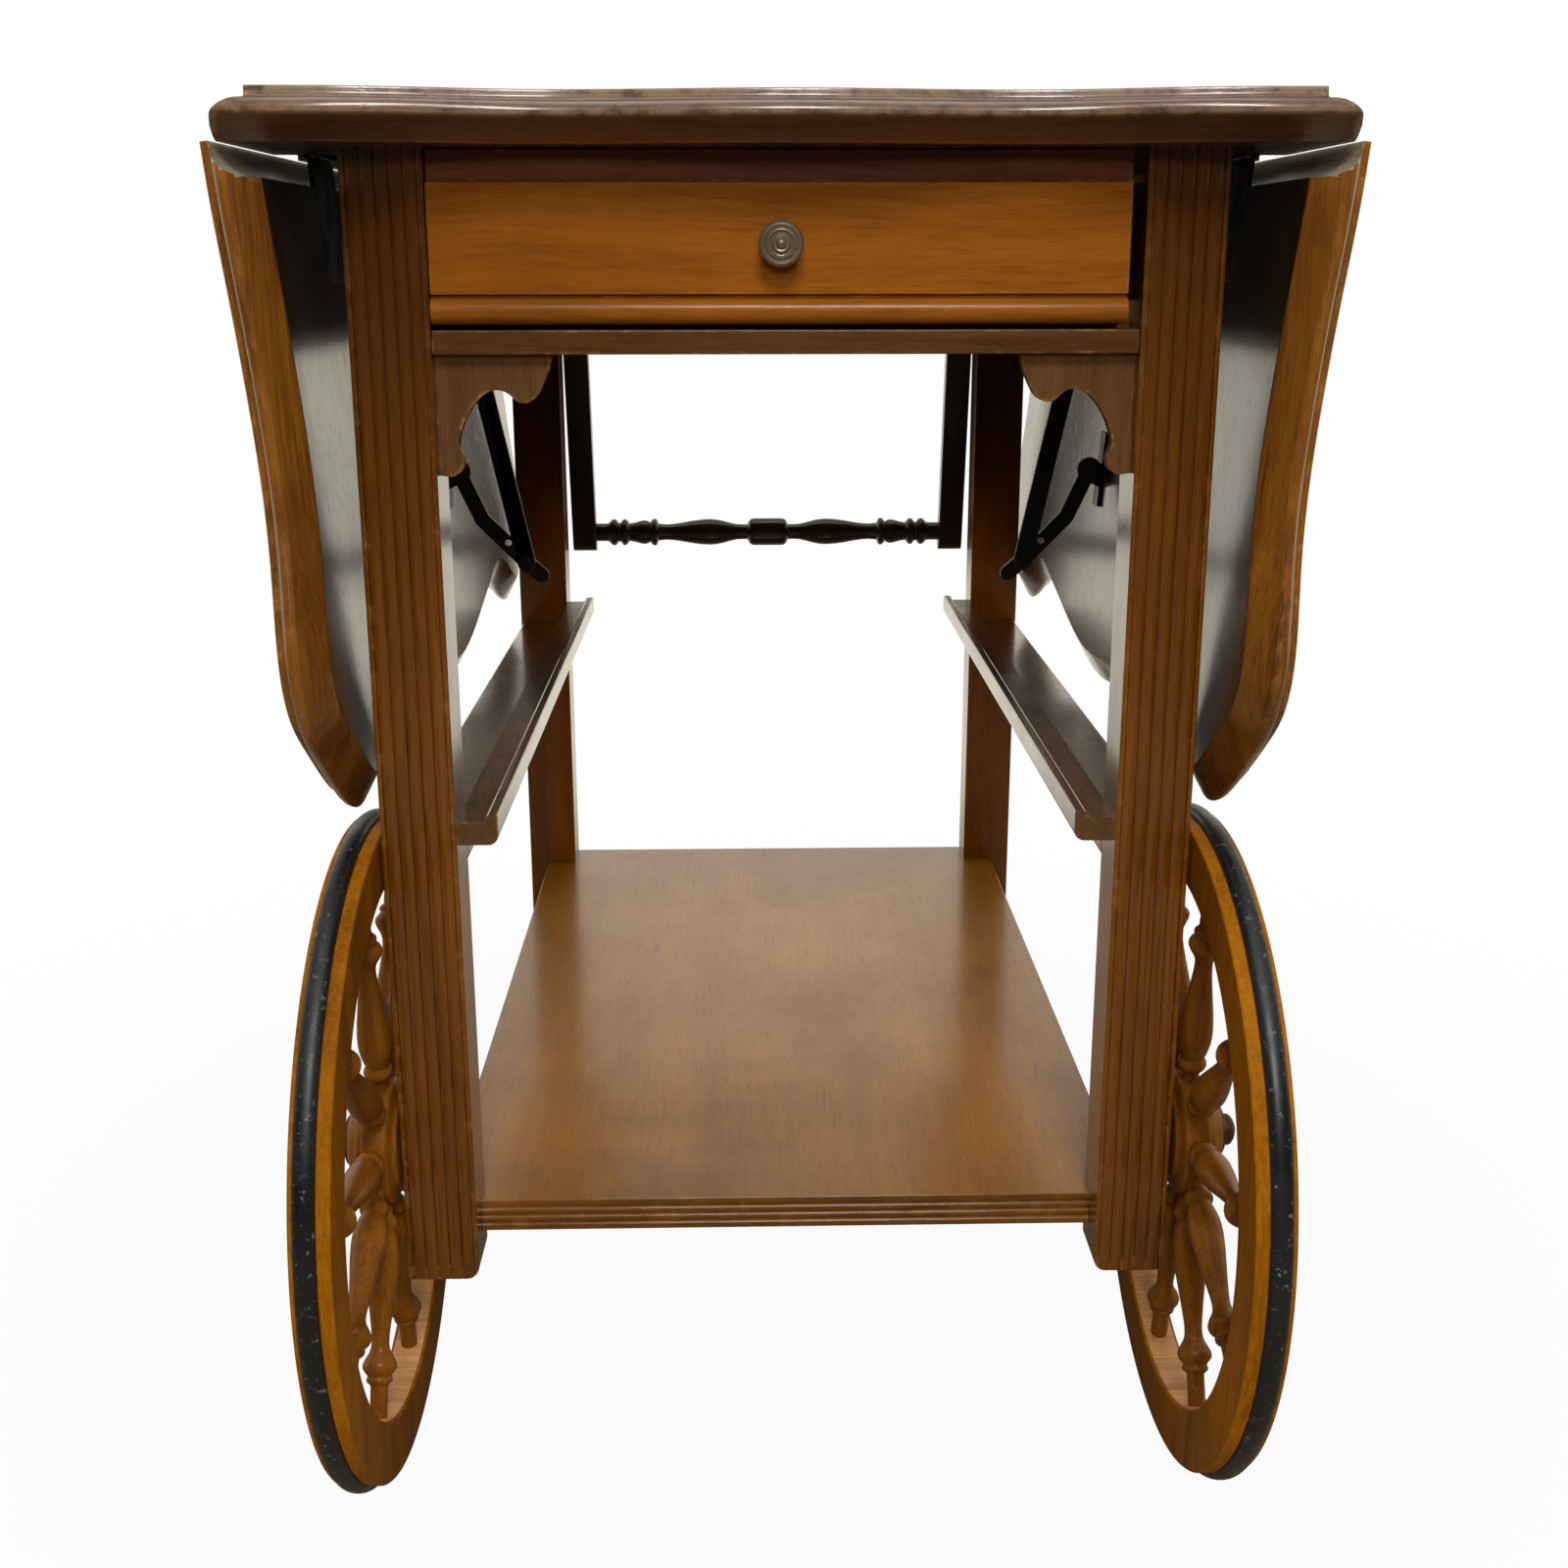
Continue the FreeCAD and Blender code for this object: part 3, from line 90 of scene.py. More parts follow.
# --- small node-tree helpers ------------------------------------------------
def feed(tree, socket, value):
    """Link an output to a socket, or set the socket's own value."""
    if isinstance(value, bpy.types.NodeSocket):
        tree.links.new(value, socket)
    else:
        socket.default_value = value


def add_node(tree, kind, inputs=None, **settings):
    node = tree.nodes.new("ShaderNode" + kind)
    for key, value in settings.items():
        setattr(node, key, value)
    for key, value in (inputs or {}).items():
        feed(tree, node.inputs[key], value)
    return node


class Shader:
    """A node material, built with short calls."""

    def __init__(self, name):
        self.material = bpy.data.materials.new(name)
        self.material.use_nodes = True
        self.tree = self.material.node_tree
        self.bsdf = self.tree.nodes["Principled BSDF"]

    def add(self, kind, inputs=None, **settings):
        return add_node(self.tree, kind, inputs, **settings)

    def set(self, **inputs):
        for key, value in inputs.items():
            feed(self.tree, self.bsdf.inputs[key.replace("_", " ")], value)

    def math(self, operation, a, b=0.0, clamp=False):
        node = self.add("Math", {0: a, 1: b}, operation=operation, use_clamp=clamp)
        return node.outputs[0]

    def remap(self, value, low, high, out_low=0.0, out_high=1.0):
        node = self.add("MapRange", {0: value, 1: low, 2: high, 3: out_low, 4: out_high})
        node.interpolation_type = "SMOOTHSTEP"
        return node.outputs[0]

    def mix(self, factor, a, b, blend="MIX"):
        node = self.add("MixRGB", {0: factor, 1: a, 2: b}, blend_type=blend)
        return node.outputs[0]

    def noise(self, vector, scale, detail=3.0, rough=0.55, distortion=0.0):
        return self.add("TexNoise", {"Vector": vector, "Scale": scale, "Detail": detail, "Roughness": rough,
                                     "Distortion": distortion}).outputs[0]

    def ramp(self, value, stops):
        node = self.add("ValToRGB", {0: value})
        ramp = node.color_ramp
        while len(ramp.elements) < len(stops):
            ramp.elements.new(0.5)
        for element, (place, colour) in zip(ramp.elements, stops):
            element.position = place
            element.color = colour
        return node.outputs[0]

    def stretched(self, vector, scale):
        return self.add("Mapping", {"Vector": vector, "Scale": scale}).outputs[0]

    def edges(self, radius):
        """1 on outer edges and corners, 0 on flat faces."""
        bevel = self.add("Bevel", {"Radius": radius}, samples=4)
        plain = self.add("NewGeometry").outputs["Normal"]
        dot = self.add("VectorMath", {0: bevel.outputs[0], 1: plain}, operation="DOT_PRODUCT")
        return self.remap(dot.outputs["Value"], 0.995, 0.90)

    def bump(self, height, strength, distance, normal=None):
        inputs = {"Height": height, "Strength": strength, "Distance": distance}
        if normal is not None:
            inputs["Normal"] = normal
        return self.add("Bump", inputs).outputs[0]


def rgb(red, green, blue):
    """An sRGB colour from 0-255 values, as linear light."""
    linear = []
    for value in (red, green, blue):
        v = value / 255.0
        linear.append(v / 12.92 if v <= 0.04045 else ((v + 0.055) / 1.055) ** 2.4)
    return (*linear, 1.0)


WORN = rgb(186, 132, 70)
BOARD = rgb(80, 51, 30)
BROWN = rgb(107, 59, 5)
DEEP = rgb(84, 51, 20)
GOLD = rgb(136, 78, 14)
RIM = rgb(140, 84, 18)
BLACK = rgb(34, 25, 18)
PALE = rgb(170, 130, 84)
GRAIN = {"X": (0.05, 1, 1), "Y": (1, 0.05, 1), "Z": (1, 1, 0.05)}


def wood(name, axis, tone, seed, edge_tone=WORN, rough=(0.28, 0.42), wear=0.5, contrast=1.0, shine=0.7,
         relief=1.0, edge=0.0022, base=0.25, stains=0.15, patchy=(0.47, 0.70)):
    """Stained and lacquered hardwood with grain along one axis.

    rough: range of the roughness. wear, patchy and edge: how strongly, over which range of a noise and how
    widely the edges take edge_tone: rubbed wear, and on the top partly a painted highlight. shine and base:
    the lacquer's and the wood's own gloss.
    """
    s = Shader(name)
    place = s.add("TexCoord").outputs["Object"]
    shifted = s.add("VectorMath", {0: place, 1: (seed, seed * 0.7, seed * 1.3)}, operation="ADD").outputs[0]
    sway = s.add("TexNoise", {"Vector": shifted, "Scale": 4.0, "Detail": 2.0})
    bend = s.add("VectorMath", {0: sway.outputs["Color"], 1: (0.02, 0.02, 0.02)}, operation="MULTIPLY")
    warped = s.add("VectorMath", {0: shifted, 1: bend.outputs[0]}, operation="ADD").outputs[0]
    along = s.stretched(warped, GRAIN[axis])
    bands = s.noise(along, 45.0, 5.0, 0.62, 0.5)
    fine = s.noise(along, 520.0, 4.0, 0.65)
    pores = s.noise(s.stretched(warped, tuple(v if v == 1 else 0.035 for v in GRAIN[axis])), 1000.0, 1.0, 0.5)
    clouds = s.noise(s.stretched(shifted, tuple(v if v == 1 else 0.45 for v in GRAIN[axis])), 8.0, 4.0, 0.6)
    grain = s.math("ADD", s.math("MULTIPLY", bands, 0.55), s.math("MULTIPLY", fine, 0.45))
    dark = tuple(v * k for v, k in zip(tone[:3], (0.50, 0.44, 0.40))) + (1,)
    light = tuple(v * k for v, k in zip(tone[:3], (1.38, 1.42, 1.45))) + (1,)
    spread = 0.15 / contrast
    colour = s.ramp(grain, [(0.5 - spread, dark), (0.5, tone), (0.5 + spread, light)])
    shade = s.ramp(clouds, [(0.3, (0.74, 0.72, 0.70, 1)), (0.7, (1.22, 1.22, 1.20, 1))])
    colour = s.mix(1.0, colour, shade, "MULTIPLY")
    pore = s.remap(pores, 0.60, 0.70)
    colour = s.mix(s.math("MULTIPLY", pore, 0.4), colour, dark)
    stain = s.remap(s.noise(shifted, 6.5, 4.0, 0.6), 0.50, 0.66, 0.0, stains)
    colour = s.mix(stain, colour, dark)
    broken = s.noise(shifted, 95.0, 5.0, 0.7)
    rubbed = s.math("MULTIPLY", s.edges(edge), s.remap(broken, *patchy), True)
    colour = s.mix(s.math("MULTIPLY", rubbed, wear, True), colour, edge_tone)
    smudge = s.noise(shifted, 14.0, 4.0, 0.6)
    gloss = s.remap(smudge, 0.3, 0.7, rough[0], rough[1])
    gloss = s.math("ADD", gloss, s.math("MULTIPLY", pore, 0.10), True)
    height = s.math("SUBTRACT", s.math("MULTIPLY", fine, 0.35), s.math("MULTIPLY", pore, 0.5))
    normal = s.bump(height, 0.14 * relief, 0.0003)
    normal = s.bump(s.noise(shifted, 34.0, 2.0, 0.5), 0.10 * relief, 0.0012, normal)
    s.set(Base_Color=colour, Roughness=gloss, Normal=normal)
    s.bsdf.inputs["Specular IOR Level"].default_value = base
    s.bsdf.inputs["Coat Weight"].default_value = shine
    s.bsdf.inputs["Coat Roughness"].default_value = rough[0] * 0.55
    s.tree.links.new(normal, s.bsdf.inputs["Coat Normal"])
    return s.material


def metal(name, base, high, rough, metallic=1.0, wear=0.4, spots=120.0):
    """Metal or black-painted iron with rubbed edges and small spots."""
    s = Shader(name)
    place = s.add("TexCoord").outputs["Object"]
    cloud = s.noise(place, spots, 5.0, 0.65)
    rubbed = s.math("MULTIPLY", s.edges(0.0010), s.remap(cloud, 0.42, 0.62), True)
    rubbed = s.math("MULTIPLY", rubbed, wear, True)
    dirty = s.mix(s.remap(cloud, 0.35, 0.75, 0.0, 0.5), base, tuple(v * 0.45 for v in base[:3]) + (1,))
    s.set(Base_Color=s.mix(rubbed, dirty, high))
    s.set(Roughness=s.remap(s.noise(place, 60.0, 4.0), 0.3, 0.7, rough - 0.08, rough + 0.12))
    s.set(Normal=s.bump(cloud, 0.12, 0.0003))
    s.bsdf.inputs["Metallic"].default_value = metallic
    return s.material


def rubber(name, base, pale):
    """Old tyre rubber: matte, with pale scuffs and specks."""
    s = Shader(name)
    place = s.add("TexCoord").outputs["Object"]
    cloud = s.noise(place, 26.0, 5.0, 0.6)
    specks = s.remap(s.noise(place, 300.0, 3.0, 0.6), 0.62, 0.70)
    scuffs = s.remap(s.noise(place, 90.0, 6.0, 0.75), 0.58, 0.74, 0.0, 0.45)
    colour = s.mix(s.remap(cloud, 0.3, 0.7, 0.0, 0.6), base, tuple(v * 2.2 for v in base[:3]) + (1,))
    colour = s.mix(scuffs, colour, pale)
    colour = s.mix(s.math("MULTIPLY", specks, 0.6), colour, pale)
    s.set(Base_Color=colour, Roughness=s.remap(cloud, 0.3, 0.7, 0.34, 0.52))
    s.set(Normal=s.bump(s.noise(place, 300.0, 4.0), 0.2, 0.0004))
    return s.material


def height_fade(tree, low, high, below=0.0, above=1.0):
    """A value that changes smoothly with the height of a place on the piece."""
    split = add_node(tree, "SeparateXYZ", {0: add_node(tree, "TexCoord").outputs["Object"]})
    fade = add_node(tree, "MapRange", {0: split.outputs[2], 1: low, 2: high, 3: below, 4: above},
                    interpolation_type="SMOOTHSTEP")
    return fade.outputs[0]


def dull_above(material, low, high, sockets=("Coat Weight",)):
    """Let a board's lacquer fade out between two heights of its place at rest."""
    tree = material.node_tree
    for socket in sockets:
        target = tree.nodes["Principled BSDF"].inputs[socket]
        tree.links.new(height_fade(tree, low, high, target.default_value, 0.02), target)


def shade_painted_above(material, low, high, share):
    """Paint shade into a leg's colour: darker between two heights, where the top and rails shade it."""
    tree = material.node_tree
    target = tree.nodes["Principled BSDF"].inputs["Base Color"]
    stain = target.links[0].from_socket
    dark = (share, share, share * 1.4, 1)
    fade = height_fade(tree, low, high)
    mix = add_node(tree, "MixRGB", {0: fade, 1: stain, 2: dark}, blend_type="MULTIPLY")
    tree.links.new(mix.outputs[0], target)


# Each wood: the axis of its grain, its stain, the seed of its pattern and its finish.
WOODS = {
    # The top's pale edge tone on wide rubbed edges is partly real wear and partly a painted highlight along
    # the nose.
    "top": ("X", BOARD, 1.0,
            dict(edge_tone=rgb(172, 144, 112), wear=0.9, rough=(0.32, 0.46), shine=0.8, edge=0.006,
                 patchy=(0.3, 0.58))),
    "leaf_face": ("Z", BOARD, 1.5, dict(wear=0.9, rough=(0.32, 0.46), shine=0.8, edge=0.0045)),
    "leaf": ("Z", rgb(122, 74, 22), 2.0,
             dict(wear=0.7, rough=(0.22, 0.3), shine=0.7, base=0.2, contrast=1.2, edge=0.005,
                  stains=0.5)),
    # The cove's pale tone is raw wood made paler still to paint the light it catches: partly its own colour,
    # partly painted light.
    "leaf_joint": ("Y", rgb(180, 164, 134), 2.7,
                   dict(wear=0.3, rough=(0.4, 0.52), shine=0.5, base=0.3, contrast=0.7)),
    "leaf_under": ("Z", rgb(44, 28, 16), 2.5, dict(wear=0.3, rough=(0.34, 0.44), shine=1.0, base=0.6)),
    "leg": ("Z", BROWN, 3.0,
            dict(wear=0.7, rough=(0.3, 0.42), shine=1.0, contrast=0.8, base=0.1, stains=0.3)),
    # The rear legs take a lighter copy of the leg stain: painted light on their lower part, with painted
    # shade above.
    "rear_leg": ("Z", rgb(132, 72, 4), 3.5,
                 dict(wear=0.7, rough=(0.3, 0.42), shine=1.0, contrast=0.8, base=0.1, stains=0.3)),
    "groove": ("Z", rgb(88, 48, 6), 3.0, dict(wear=0.0, rough=(0.4, 0.5), shine=0.3)),
    "rail_x": ("X", DEEP, 4.0, dict(wear=0.8, shine=0.3)),
    "rail_y": ("Y", DEEP, 5.0, dict(wear=0.6, rough=(0.26, 0.38), shine=1.0, relief=0.5, base=0.5)),
    "ledge_top": ("Y", DEEP, 5.5, dict(wear=0.6, shine=0.25, base=0.15, relief=0.5)),
    "shelf": ("Y", rgb(148, 94, 24), 6.0,
              dict(wear=0.6, rough=(0.3, 0.38), contrast=0.4, relief=0.2, shine=0.75, stains=0.55)),
    "drawer": ("X", GOLD, 7.0,
               dict(wear=0.6, rough=(0.32, 0.44), contrast=0.55, shine=0.2, base=0.12, stains=0.25)),
    # The strip over the drawer takes a darker stain: partly its own tone, partly painted shade under the top.
    "drawer_strip": ("X", rgb(88, 50, 30), 7.5, dict(wear=0.6, contrast=0.6, shine=0.2, base=0.12)),
    "shelf_edge": ("X", rgb(112, 70, 24), 15.0, dict(wear=0.7, shine=0.15, base=0.1, contrast=0.7)),
    "fret": ("Z", rgb(92, 62, 32), 8.0, dict(wear=0.8, shine=0.3, contrast=0.7)),
    "wheel": ("Z", RIM, 9.0, dict(wear=0.6, rough=(0.36, 0.48), contrast=0.8, shine=0.2, base=0.15)),
    "rim": ("Z", rgb(160, 98, 14), 9.5,
            dict(wear=0.6, rough=(0.4, 0.52), contrast=0.8, shine=0.0, base=0.04, stains=0.5)),
    # The rim's inner face is pale raw wood, made paler still as painted light inside the rim.
    "rim_inside": ("X", rgb(216, 158, 104), 14.0,
                   dict(wear=0.4, rough=(0.45, 0.6), contrast=0.6, shine=0.05, base=0.05)),
    "turned": ("X", BLACK, 10.0, dict(wear=0.3, shine=0.4)),
    "arm": ("Z", BLACK, 11.0, dict(wear=0.35, shine=0.4)),
    "pale_x": ("X", PALE, 12.0, dict(edge_tone=PALE, rough=(0.5, 0.65), wear=0.3)),
    "pale_y": ("Y", PALE, 13.0, dict(edge_tone=PALE, rough=(0.5, 0.65), wear=0.3)),
}
M = {kind: wood("wood_" + kind, axis, stain, seed, **finish)
     for kind, (axis, stain, seed, finish) in WOODS.items()}
M.update({
    "iron": metal("black_iron", rgb(22, 22, 24), rgb(90, 84, 78), 0.42, 0.4, 0.6),
    "steel": metal("steel", rgb(120, 112, 100), rgb(190, 182, 168), 0.36),
    "bronze": metal("bronze", rgb(88, 66, 40), rgb(150, 122, 84), 0.45, 0.8),
    "hinge": metal("hinge_iron", rgb(30, 27, 24), rgb(110, 100, 86), 0.5, 0.8),
    "knob": metal("knob_metal", rgb(138, 124, 102), rgb(196, 184, 162), 0.34, 0.7, 0.9, 300.0),
    "tyre": rubber("tyre_rubber", rgb(14, 17, 20), rgb(120, 122, 118)),
    "caster": rubber("caster_rubber", rgb(40, 36, 32), rgb(120, 116, 110)),
})
dull_above(M["leaf_under"], 0.588, 0.606, ("Coat Weight", "Specular IOR Level"))
dull_above(M["rear_leg"], 0.36, 0.42)
# Painted shade: the rear legs above the ledges and the front legs under the top are darkened in colour.
shade_painted_above(M["rear_leg"], 0.36, 0.52, 0.3)
for kind in ("leg", "groove"):
    shade_painted_above(M[kind], 0.42, 0.68, 0.42)


# --- mesh helpers -----------------------------------------------------------
SHARP = 32.0


def finish_mesh(bm, name, material, body, nodes=(), smooth=SHARP):
    """Turn a bmesh into a smooth-shaded piece that rides a body and may stand for CAD nodes."""
    bmesh.ops.remove_doubles(bm, verts=bm.verts, dist=1e-6)
    bmesh.ops.recalc_face_normals(bm, faces=bm.faces)
    mesh = bpy.data.meshes.new(name)
    bm.to_mesh(mesh)
    bm.free()
    mesh.shade_smooth()
    mesh.set_sharp_from_angle(angle=math.radians(smooth))
    mesh.materials.append(material)
    piece = bpy.data.objects.new(name, mesh)
    bpy.context.scene.collection.objects.link(piece)
    even_normals(piece)
    if body:
        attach(piece, body)
    if nodes:
        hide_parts(*nodes)
    return piece


def even_normals(piece):
    """Let the large faces lead the shading, so that flat boards look flat up to their rounded edges."""
    step = piece.modifiers.new("normals", "WEIGHTED_NORMAL")
    step.keep_sharp = True
    step.weight = 100
    bpy.context.view_layer.update()
    shaped = bpy.data.meshes.new_from_object(piece.evaluated_get(bpy.context.evaluated_depsgraph_get()))
    old = piece.data
    piece.modifiers.clear()
    piece.data = shaped
    bpy.data.meshes.remove(old)
    shaped.name = piece.name


def dress(piece, material, chosen):
    """Give the faces that a test picks, by centre in millimetres and normal, a further material."""
    piece.data.materials.append(material)
    index = len(piece.data.materials) - 1
    for face in piece.data.polygons:
        if chosen(face.center / MM, face.normal):
            face.material_index = index


def add_rings(bm, rings, cap=True, closed=False):
    """Skin a list of equal closed loops, with flat caps at both ends."""
    made = [[bm.verts.new(Vector(p) * MM) for p in ring] for ring in rings]
    pairs = list(zip(made, made[1:]))
    if closed:
        pairs.append((made[-1], made[0]))
    for low, high in pairs:
        for i in range(len(low)):
            j = (i + 1) % len(low)
            bm.faces.new((low[i], low[j], high[j], high[i]))
    if cap and not closed:
        bm.faces.new(made[0])
        bm.faces.new(made[-1][::-1])


def ease(bm, width, segments, angle=35.0):
    """Round every edge sharper than an angle."""
    sharp = [edge for edge in bm.edges
             if edge.is_manifold and edge.calc_face_angle(0) > math.radians(angle)]
    bmesh.ops.bevel(bm, geom=sharp, offset=width * MM, segments=segments, profile=0.5,
                    affect="EDGES", clamp_overlap=True)


def eased(node, material, width=0.8, segments=2):
    """A copy of a CAD node with softened edges that stands for it."""
    bm = bmesh.new()
    bm.from_mesh(frame["nodes"][node].data)
    bmesh.ops.remove_doubles(bm, verts=bm.verts, dist=2e-6)
    bmesh.ops.dissolve_limit(bm, angle_limit=math.radians(0.3), verts=bm.verts, edges=bm.edges)
    ease(bm, width, segments)
    return finish_mesh(bm, node + "_eased", material, BODY_OF[node], [node])


def turned(profile, origin, axis, segments=48):
    """Rings of a turned shape: (distance along the axis, radius) from one end to the other."""
    axis = Vector(axis).normalized()
    side = axis.orthogonal().normalized()
    up = axis.cross(side)
    rings = []
    for along, radius in profile:
        centre = Vector(origin) + axis * along
        ring = []
        for i in range(segments):
            a = 2 * math.pi * i / segments
            ring.append(centre + (side * math.cos(a) + up * math.sin(a)) * radius)
        rings.append(ring)
    return rings


def spline(points, count):
    """Points on a smooth curve through the given points, evenly spread by parameter."""
    p = np.array(points, float)
    t = np.concatenate([[0], np.cumsum(np.linalg.norm(np.diff(p, axis=0), axis=1))])
    n = len(t)
    a = np.zeros((n, n))
    b = np.zeros((n, p.shape[1]))
    a[0, 0] = a[-1, -1] = 1
    h = np.diff(t)
    for i in range(1, n - 1):
        a[i, i - 1], a[i, i], a[i, i + 1] = h[i - 1], 2 * (h[i - 1] + h[i]), h[i]
        b[i] = 6 * ((p[i + 1] - p[i]) / h[i] - (p[i] - p[i - 1]) / h[i - 1])
    m = np.linalg.solve(a, b)
    out = []
    for u in np.linspace(0, t[-1], count):
        k = min(max(int(np.searchsorted(t, u)) - 1, 0), n - 2)
        x, y, d = t[k + 1] - u, u - t[k], h[k]
        out.append(m[k] * x ** 3 / (6 * d) + m[k + 1] * y ** 3 / (6 * d)
                   + (p[k] / d - m[k] * d / 6) * x + (p[k + 1] / d - m[k + 1] * d / 6) * y)
    return np.array(out)


def carve(piece, bars):
    """Cut bars, each given by the rings at its two ends, out of a piece, one after another."""
    bent = piece.data.attributes.get("custom_normal")
    if bent:
        piece.data.attributes.remove(bent)
    for rings in bars:
        bm = bmesh.new()
        add_rings(bm, rings)
        bmesh.ops.recalc_face_normals(bm, faces=bm.faces)
        mesh = bpy.data.meshes.new("cutter")
        bm.to_mesh(mesh)
        bm.free()
        cutter = bpy.data.objects.new("cutter", mesh)
        bpy.context.scene.collection.objects.link(cutter)
        step = piece.modifiers.new("pockets", "BOOLEAN")
        step.object = cutter
        step.solver = "EXACT"
        bpy.context.view_layer.update()
        shaped = bpy.data.meshes.new_from_object(piece.evaluated_get(bpy.context.evaluated_depsgraph_get()))
        piece.modifiers.clear()
        piece.data = shaped
        bpy.data.objects.remove(cutter)
        bpy.data.meshes.remove(mesh)
    piece.data.shade_smooth()
    piece.data.set_sharp_from_angle(angle=math.radians(SHARP))
    even_normals(piece)


def bar(profile, middle, half, place):
    """Both end rings of a bar along y with a profile of (x, z) points, for carve."""
    return [[place((x, y, z)) for x, z in profile] for y in (middle - half, middle + half)]


# --- table top and leaves ---------------------------------------------------
# Edge moulding from the top face down: (inset from the widest line, height).
MOULDING = [
    (13.0, TOP), (10.0, 707.85), (9.3, 707.4), (9.0, 706.6), (8.9, 705.2), (8.4, 704.0), (7.4, 703.2),
    (6.0, 702.9), (4.3, 702.7), (2.6, 702.0), (1.2, 700.7), (0.35, 699.2), (0.0, 697.8), (0.25, 696.9),
    (1.0, 696.1), (3.0, 694.8), (8.0, 691.5), (14.0, 687.7), (17.0, 685.9), (18.2, UNDERSIDE),
]


def serpentine(inset, half_width, sign, z, count=90):
    """The curved front (-1) or back (1) end line of the top at one height."""
    reach = TOP_HALF - inset
    marks = [(-1.0, 0.0), (-0.8, 2.16), (-0.5, 18.0), (0.0, 9.0), (0.5, 18.0), (0.8, 2.16), (1.0, 0.0)]
    line = spline([(x * half_width, MIDDLE + sign * (reach - drop)) for x, drop in marks], count)
    return [(x, y, z) for x, y in line]


def top_side(z):
    """Half width of the top at one height: a square lip over the quarter round of the leaf joint."""
    if z >= PIN_Z + ROUND:
        return PIN_X
    return PIN_X + math.sqrt(max(ROUND ** 2 - (z - PIN_Z) ** 2, 0))


def build_top():
    rings = []
    for inset, z in MOULDING:
        half = top_side(z)
        near = serpentine(inset, half, -1, z)
        far = serpentine(inset, half, 1, z)
        rings.append(near + far[::-1])
    bm = bmesh.new()
    add_rings(bm, rings)
    piece = finish_mesh(bm, "table_top_board", M["top"], "frame", ["table_top"])
    room, roof = KNUCKLE_ROOM, PIN_Z + KNUCKLE_ROOM
    pocket = [(-27, 680.0), (32, 680.0), (32, 688.0), (room, 688.0), (room, roof), (-room, roof),
              (-room, 687.5), (-27, 687.5)]
    carve(piece, [bar(pocket, y, HINGE_HALF + 0.3, lambda p: (side * (PIN_X + p[0]), p[1], p[2]))
                  for y in HINGE_YS for side in (-1, 1)])


def leaf_outline():
    """Outer line of a raised leaf from the front of its hinge edge to the back, as (reach, along)."""
    lobe, notch, half, wide = LEAF_REACH, LEAF_REACH - 29, TOP_HALF, LEAF_HALF
    near = [(0.4, half)]
    for share, hollow in [(0.078, 0.07), (0.206, 0.56), (0.344, 0.96), (0.469, 1.0), (0.569, 0.52)]:
        near.append((share * lobe, half - hollow * 11.5))
    near += [
        (0.656 * lobe, half + 3), (0.747 * lobe, wide), (0.819 * lobe, 0.984 * wide),
        (0.887 * lobe, 0.932 * wide), (lobe - 16, 0.87 * wide), (lobe - 4.5, 0.825 * wide),
        (lobe, 0.784 * wide), (lobe - 5, 0.721 * wide), (notch + 10, 0.635 * wide),
        (notch + 1.5, 0.557 * wide), (notch, 0.505 * wide), (notch + 4, 0.443 * wide),
        ((notch + lobe) / 2 - 2.5, 0.331 * wide), (lobe - 6, 0.167 * wide), (lobe, 0),
    ]
    whole = [(x, -y) for x, y in near] + [(x, y) for x, y in reversed(near[:-1])]
    return spline(whole, 420)


def hinge_edge(z):
    """How far the leaf's hollow hinge edge stands from the pin line at one height."""
    if z >= PIN_Z + COVE:
        return 0.4
    return max(math.sqrt(max(COVE ** 2 - (z - PIN_Z) ** 2, 0)), 0.4)


def hang(point, side):
    """Turn a raised right-hand leaf point down, then mirror it for the left."""
    a = math.radians(LEAF_DROP)
    x, y, z = point[0], point[1], point[2] - PIN_Z
    turned_x = x * math.cos(a) + z * math.sin(a)
    turned_z = -x * math.sin(a) + z * math.cos(a)
    return (side * (PIN_X + turned_x), y, PIN_Z + turned_z)


def build_leaf(name, side):
    base = leaf_outline()
    step = np.gradient(base, axis=0)
    step /= np.linalg.norm(step, axis=1)[:, None]
    inward = np.stack([-step[:, 1], step[:, 0]], 1)
    rings = []
    levels = []
    for (inset, z), after in zip(MOULDING, MOULDING[1:] + [None]):
        levels.append((inset, z))
        if after and z - after[1] > 1.2:
            for share in (0.33, 0.67):
                levels.append((inset + (after[0] - inset) * share, z + (after[1] - z) * share))
    for inset, z in levels:
        line = base + inward * inset
        edge = hinge_edge(z)
        ring = [hang((max(x, edge), MIDDLE + y, z), side) for x, y in line]
        rings.append(ring)
    bm = bmesh.new()
    add_rings(bm, rings)
    piece = finish_mesh(bm, name + "_leaf_board", M["leaf"], name + "_leaf", [name + "_leaf_panel"])
    pocket = [(0, 681.5), (62, 681.5), (62, 687.5), (0, 687.5)]
    carve(piece, [bar(pocket, y, HINGE_HALF, lambda p: hang(p, side)) for y in HINGE_YS])
    dress(piece, M["leaf_under"], lambda place, normal: normal.x * side < -0.98)
    dress(piece, M["leaf_face"], lambda place, normal: normal.x * side > 0.98)
    dress(piece, M["leaf_joint"],
          lambda place, normal: abs(math.hypot(place.x - side * PIN_X, place.z - PIN_Z) - COVE) < 0.6)


# --- legs, rails and shelf --------------------------------------------------
def reed_line(x0, x1, y, count=5, pitch=6.6, radius=5.4):
    """Front line of a reeded board, from x0 to x1: rounded reeds between plain margins."""
    line = []
    steps = 150
    middle = (x0 + x1) / 2
    half = count * pitch / 2
    for i in range(steps + 1):
        x = x0 + (x1 - x0) * i / steps
        off = x - middle
        depth = 0.0
        if abs(off) < half:
            across = (off + half) % pitch - pitch / 2
            depth = radius - math.sqrt(radius ** 2 - across ** 2)
        corner = max(0.0, 1.0 - min(x - x0, x1 - x))
        line.append((x, y + depth + corner ** 2 * 0.6))
    return line


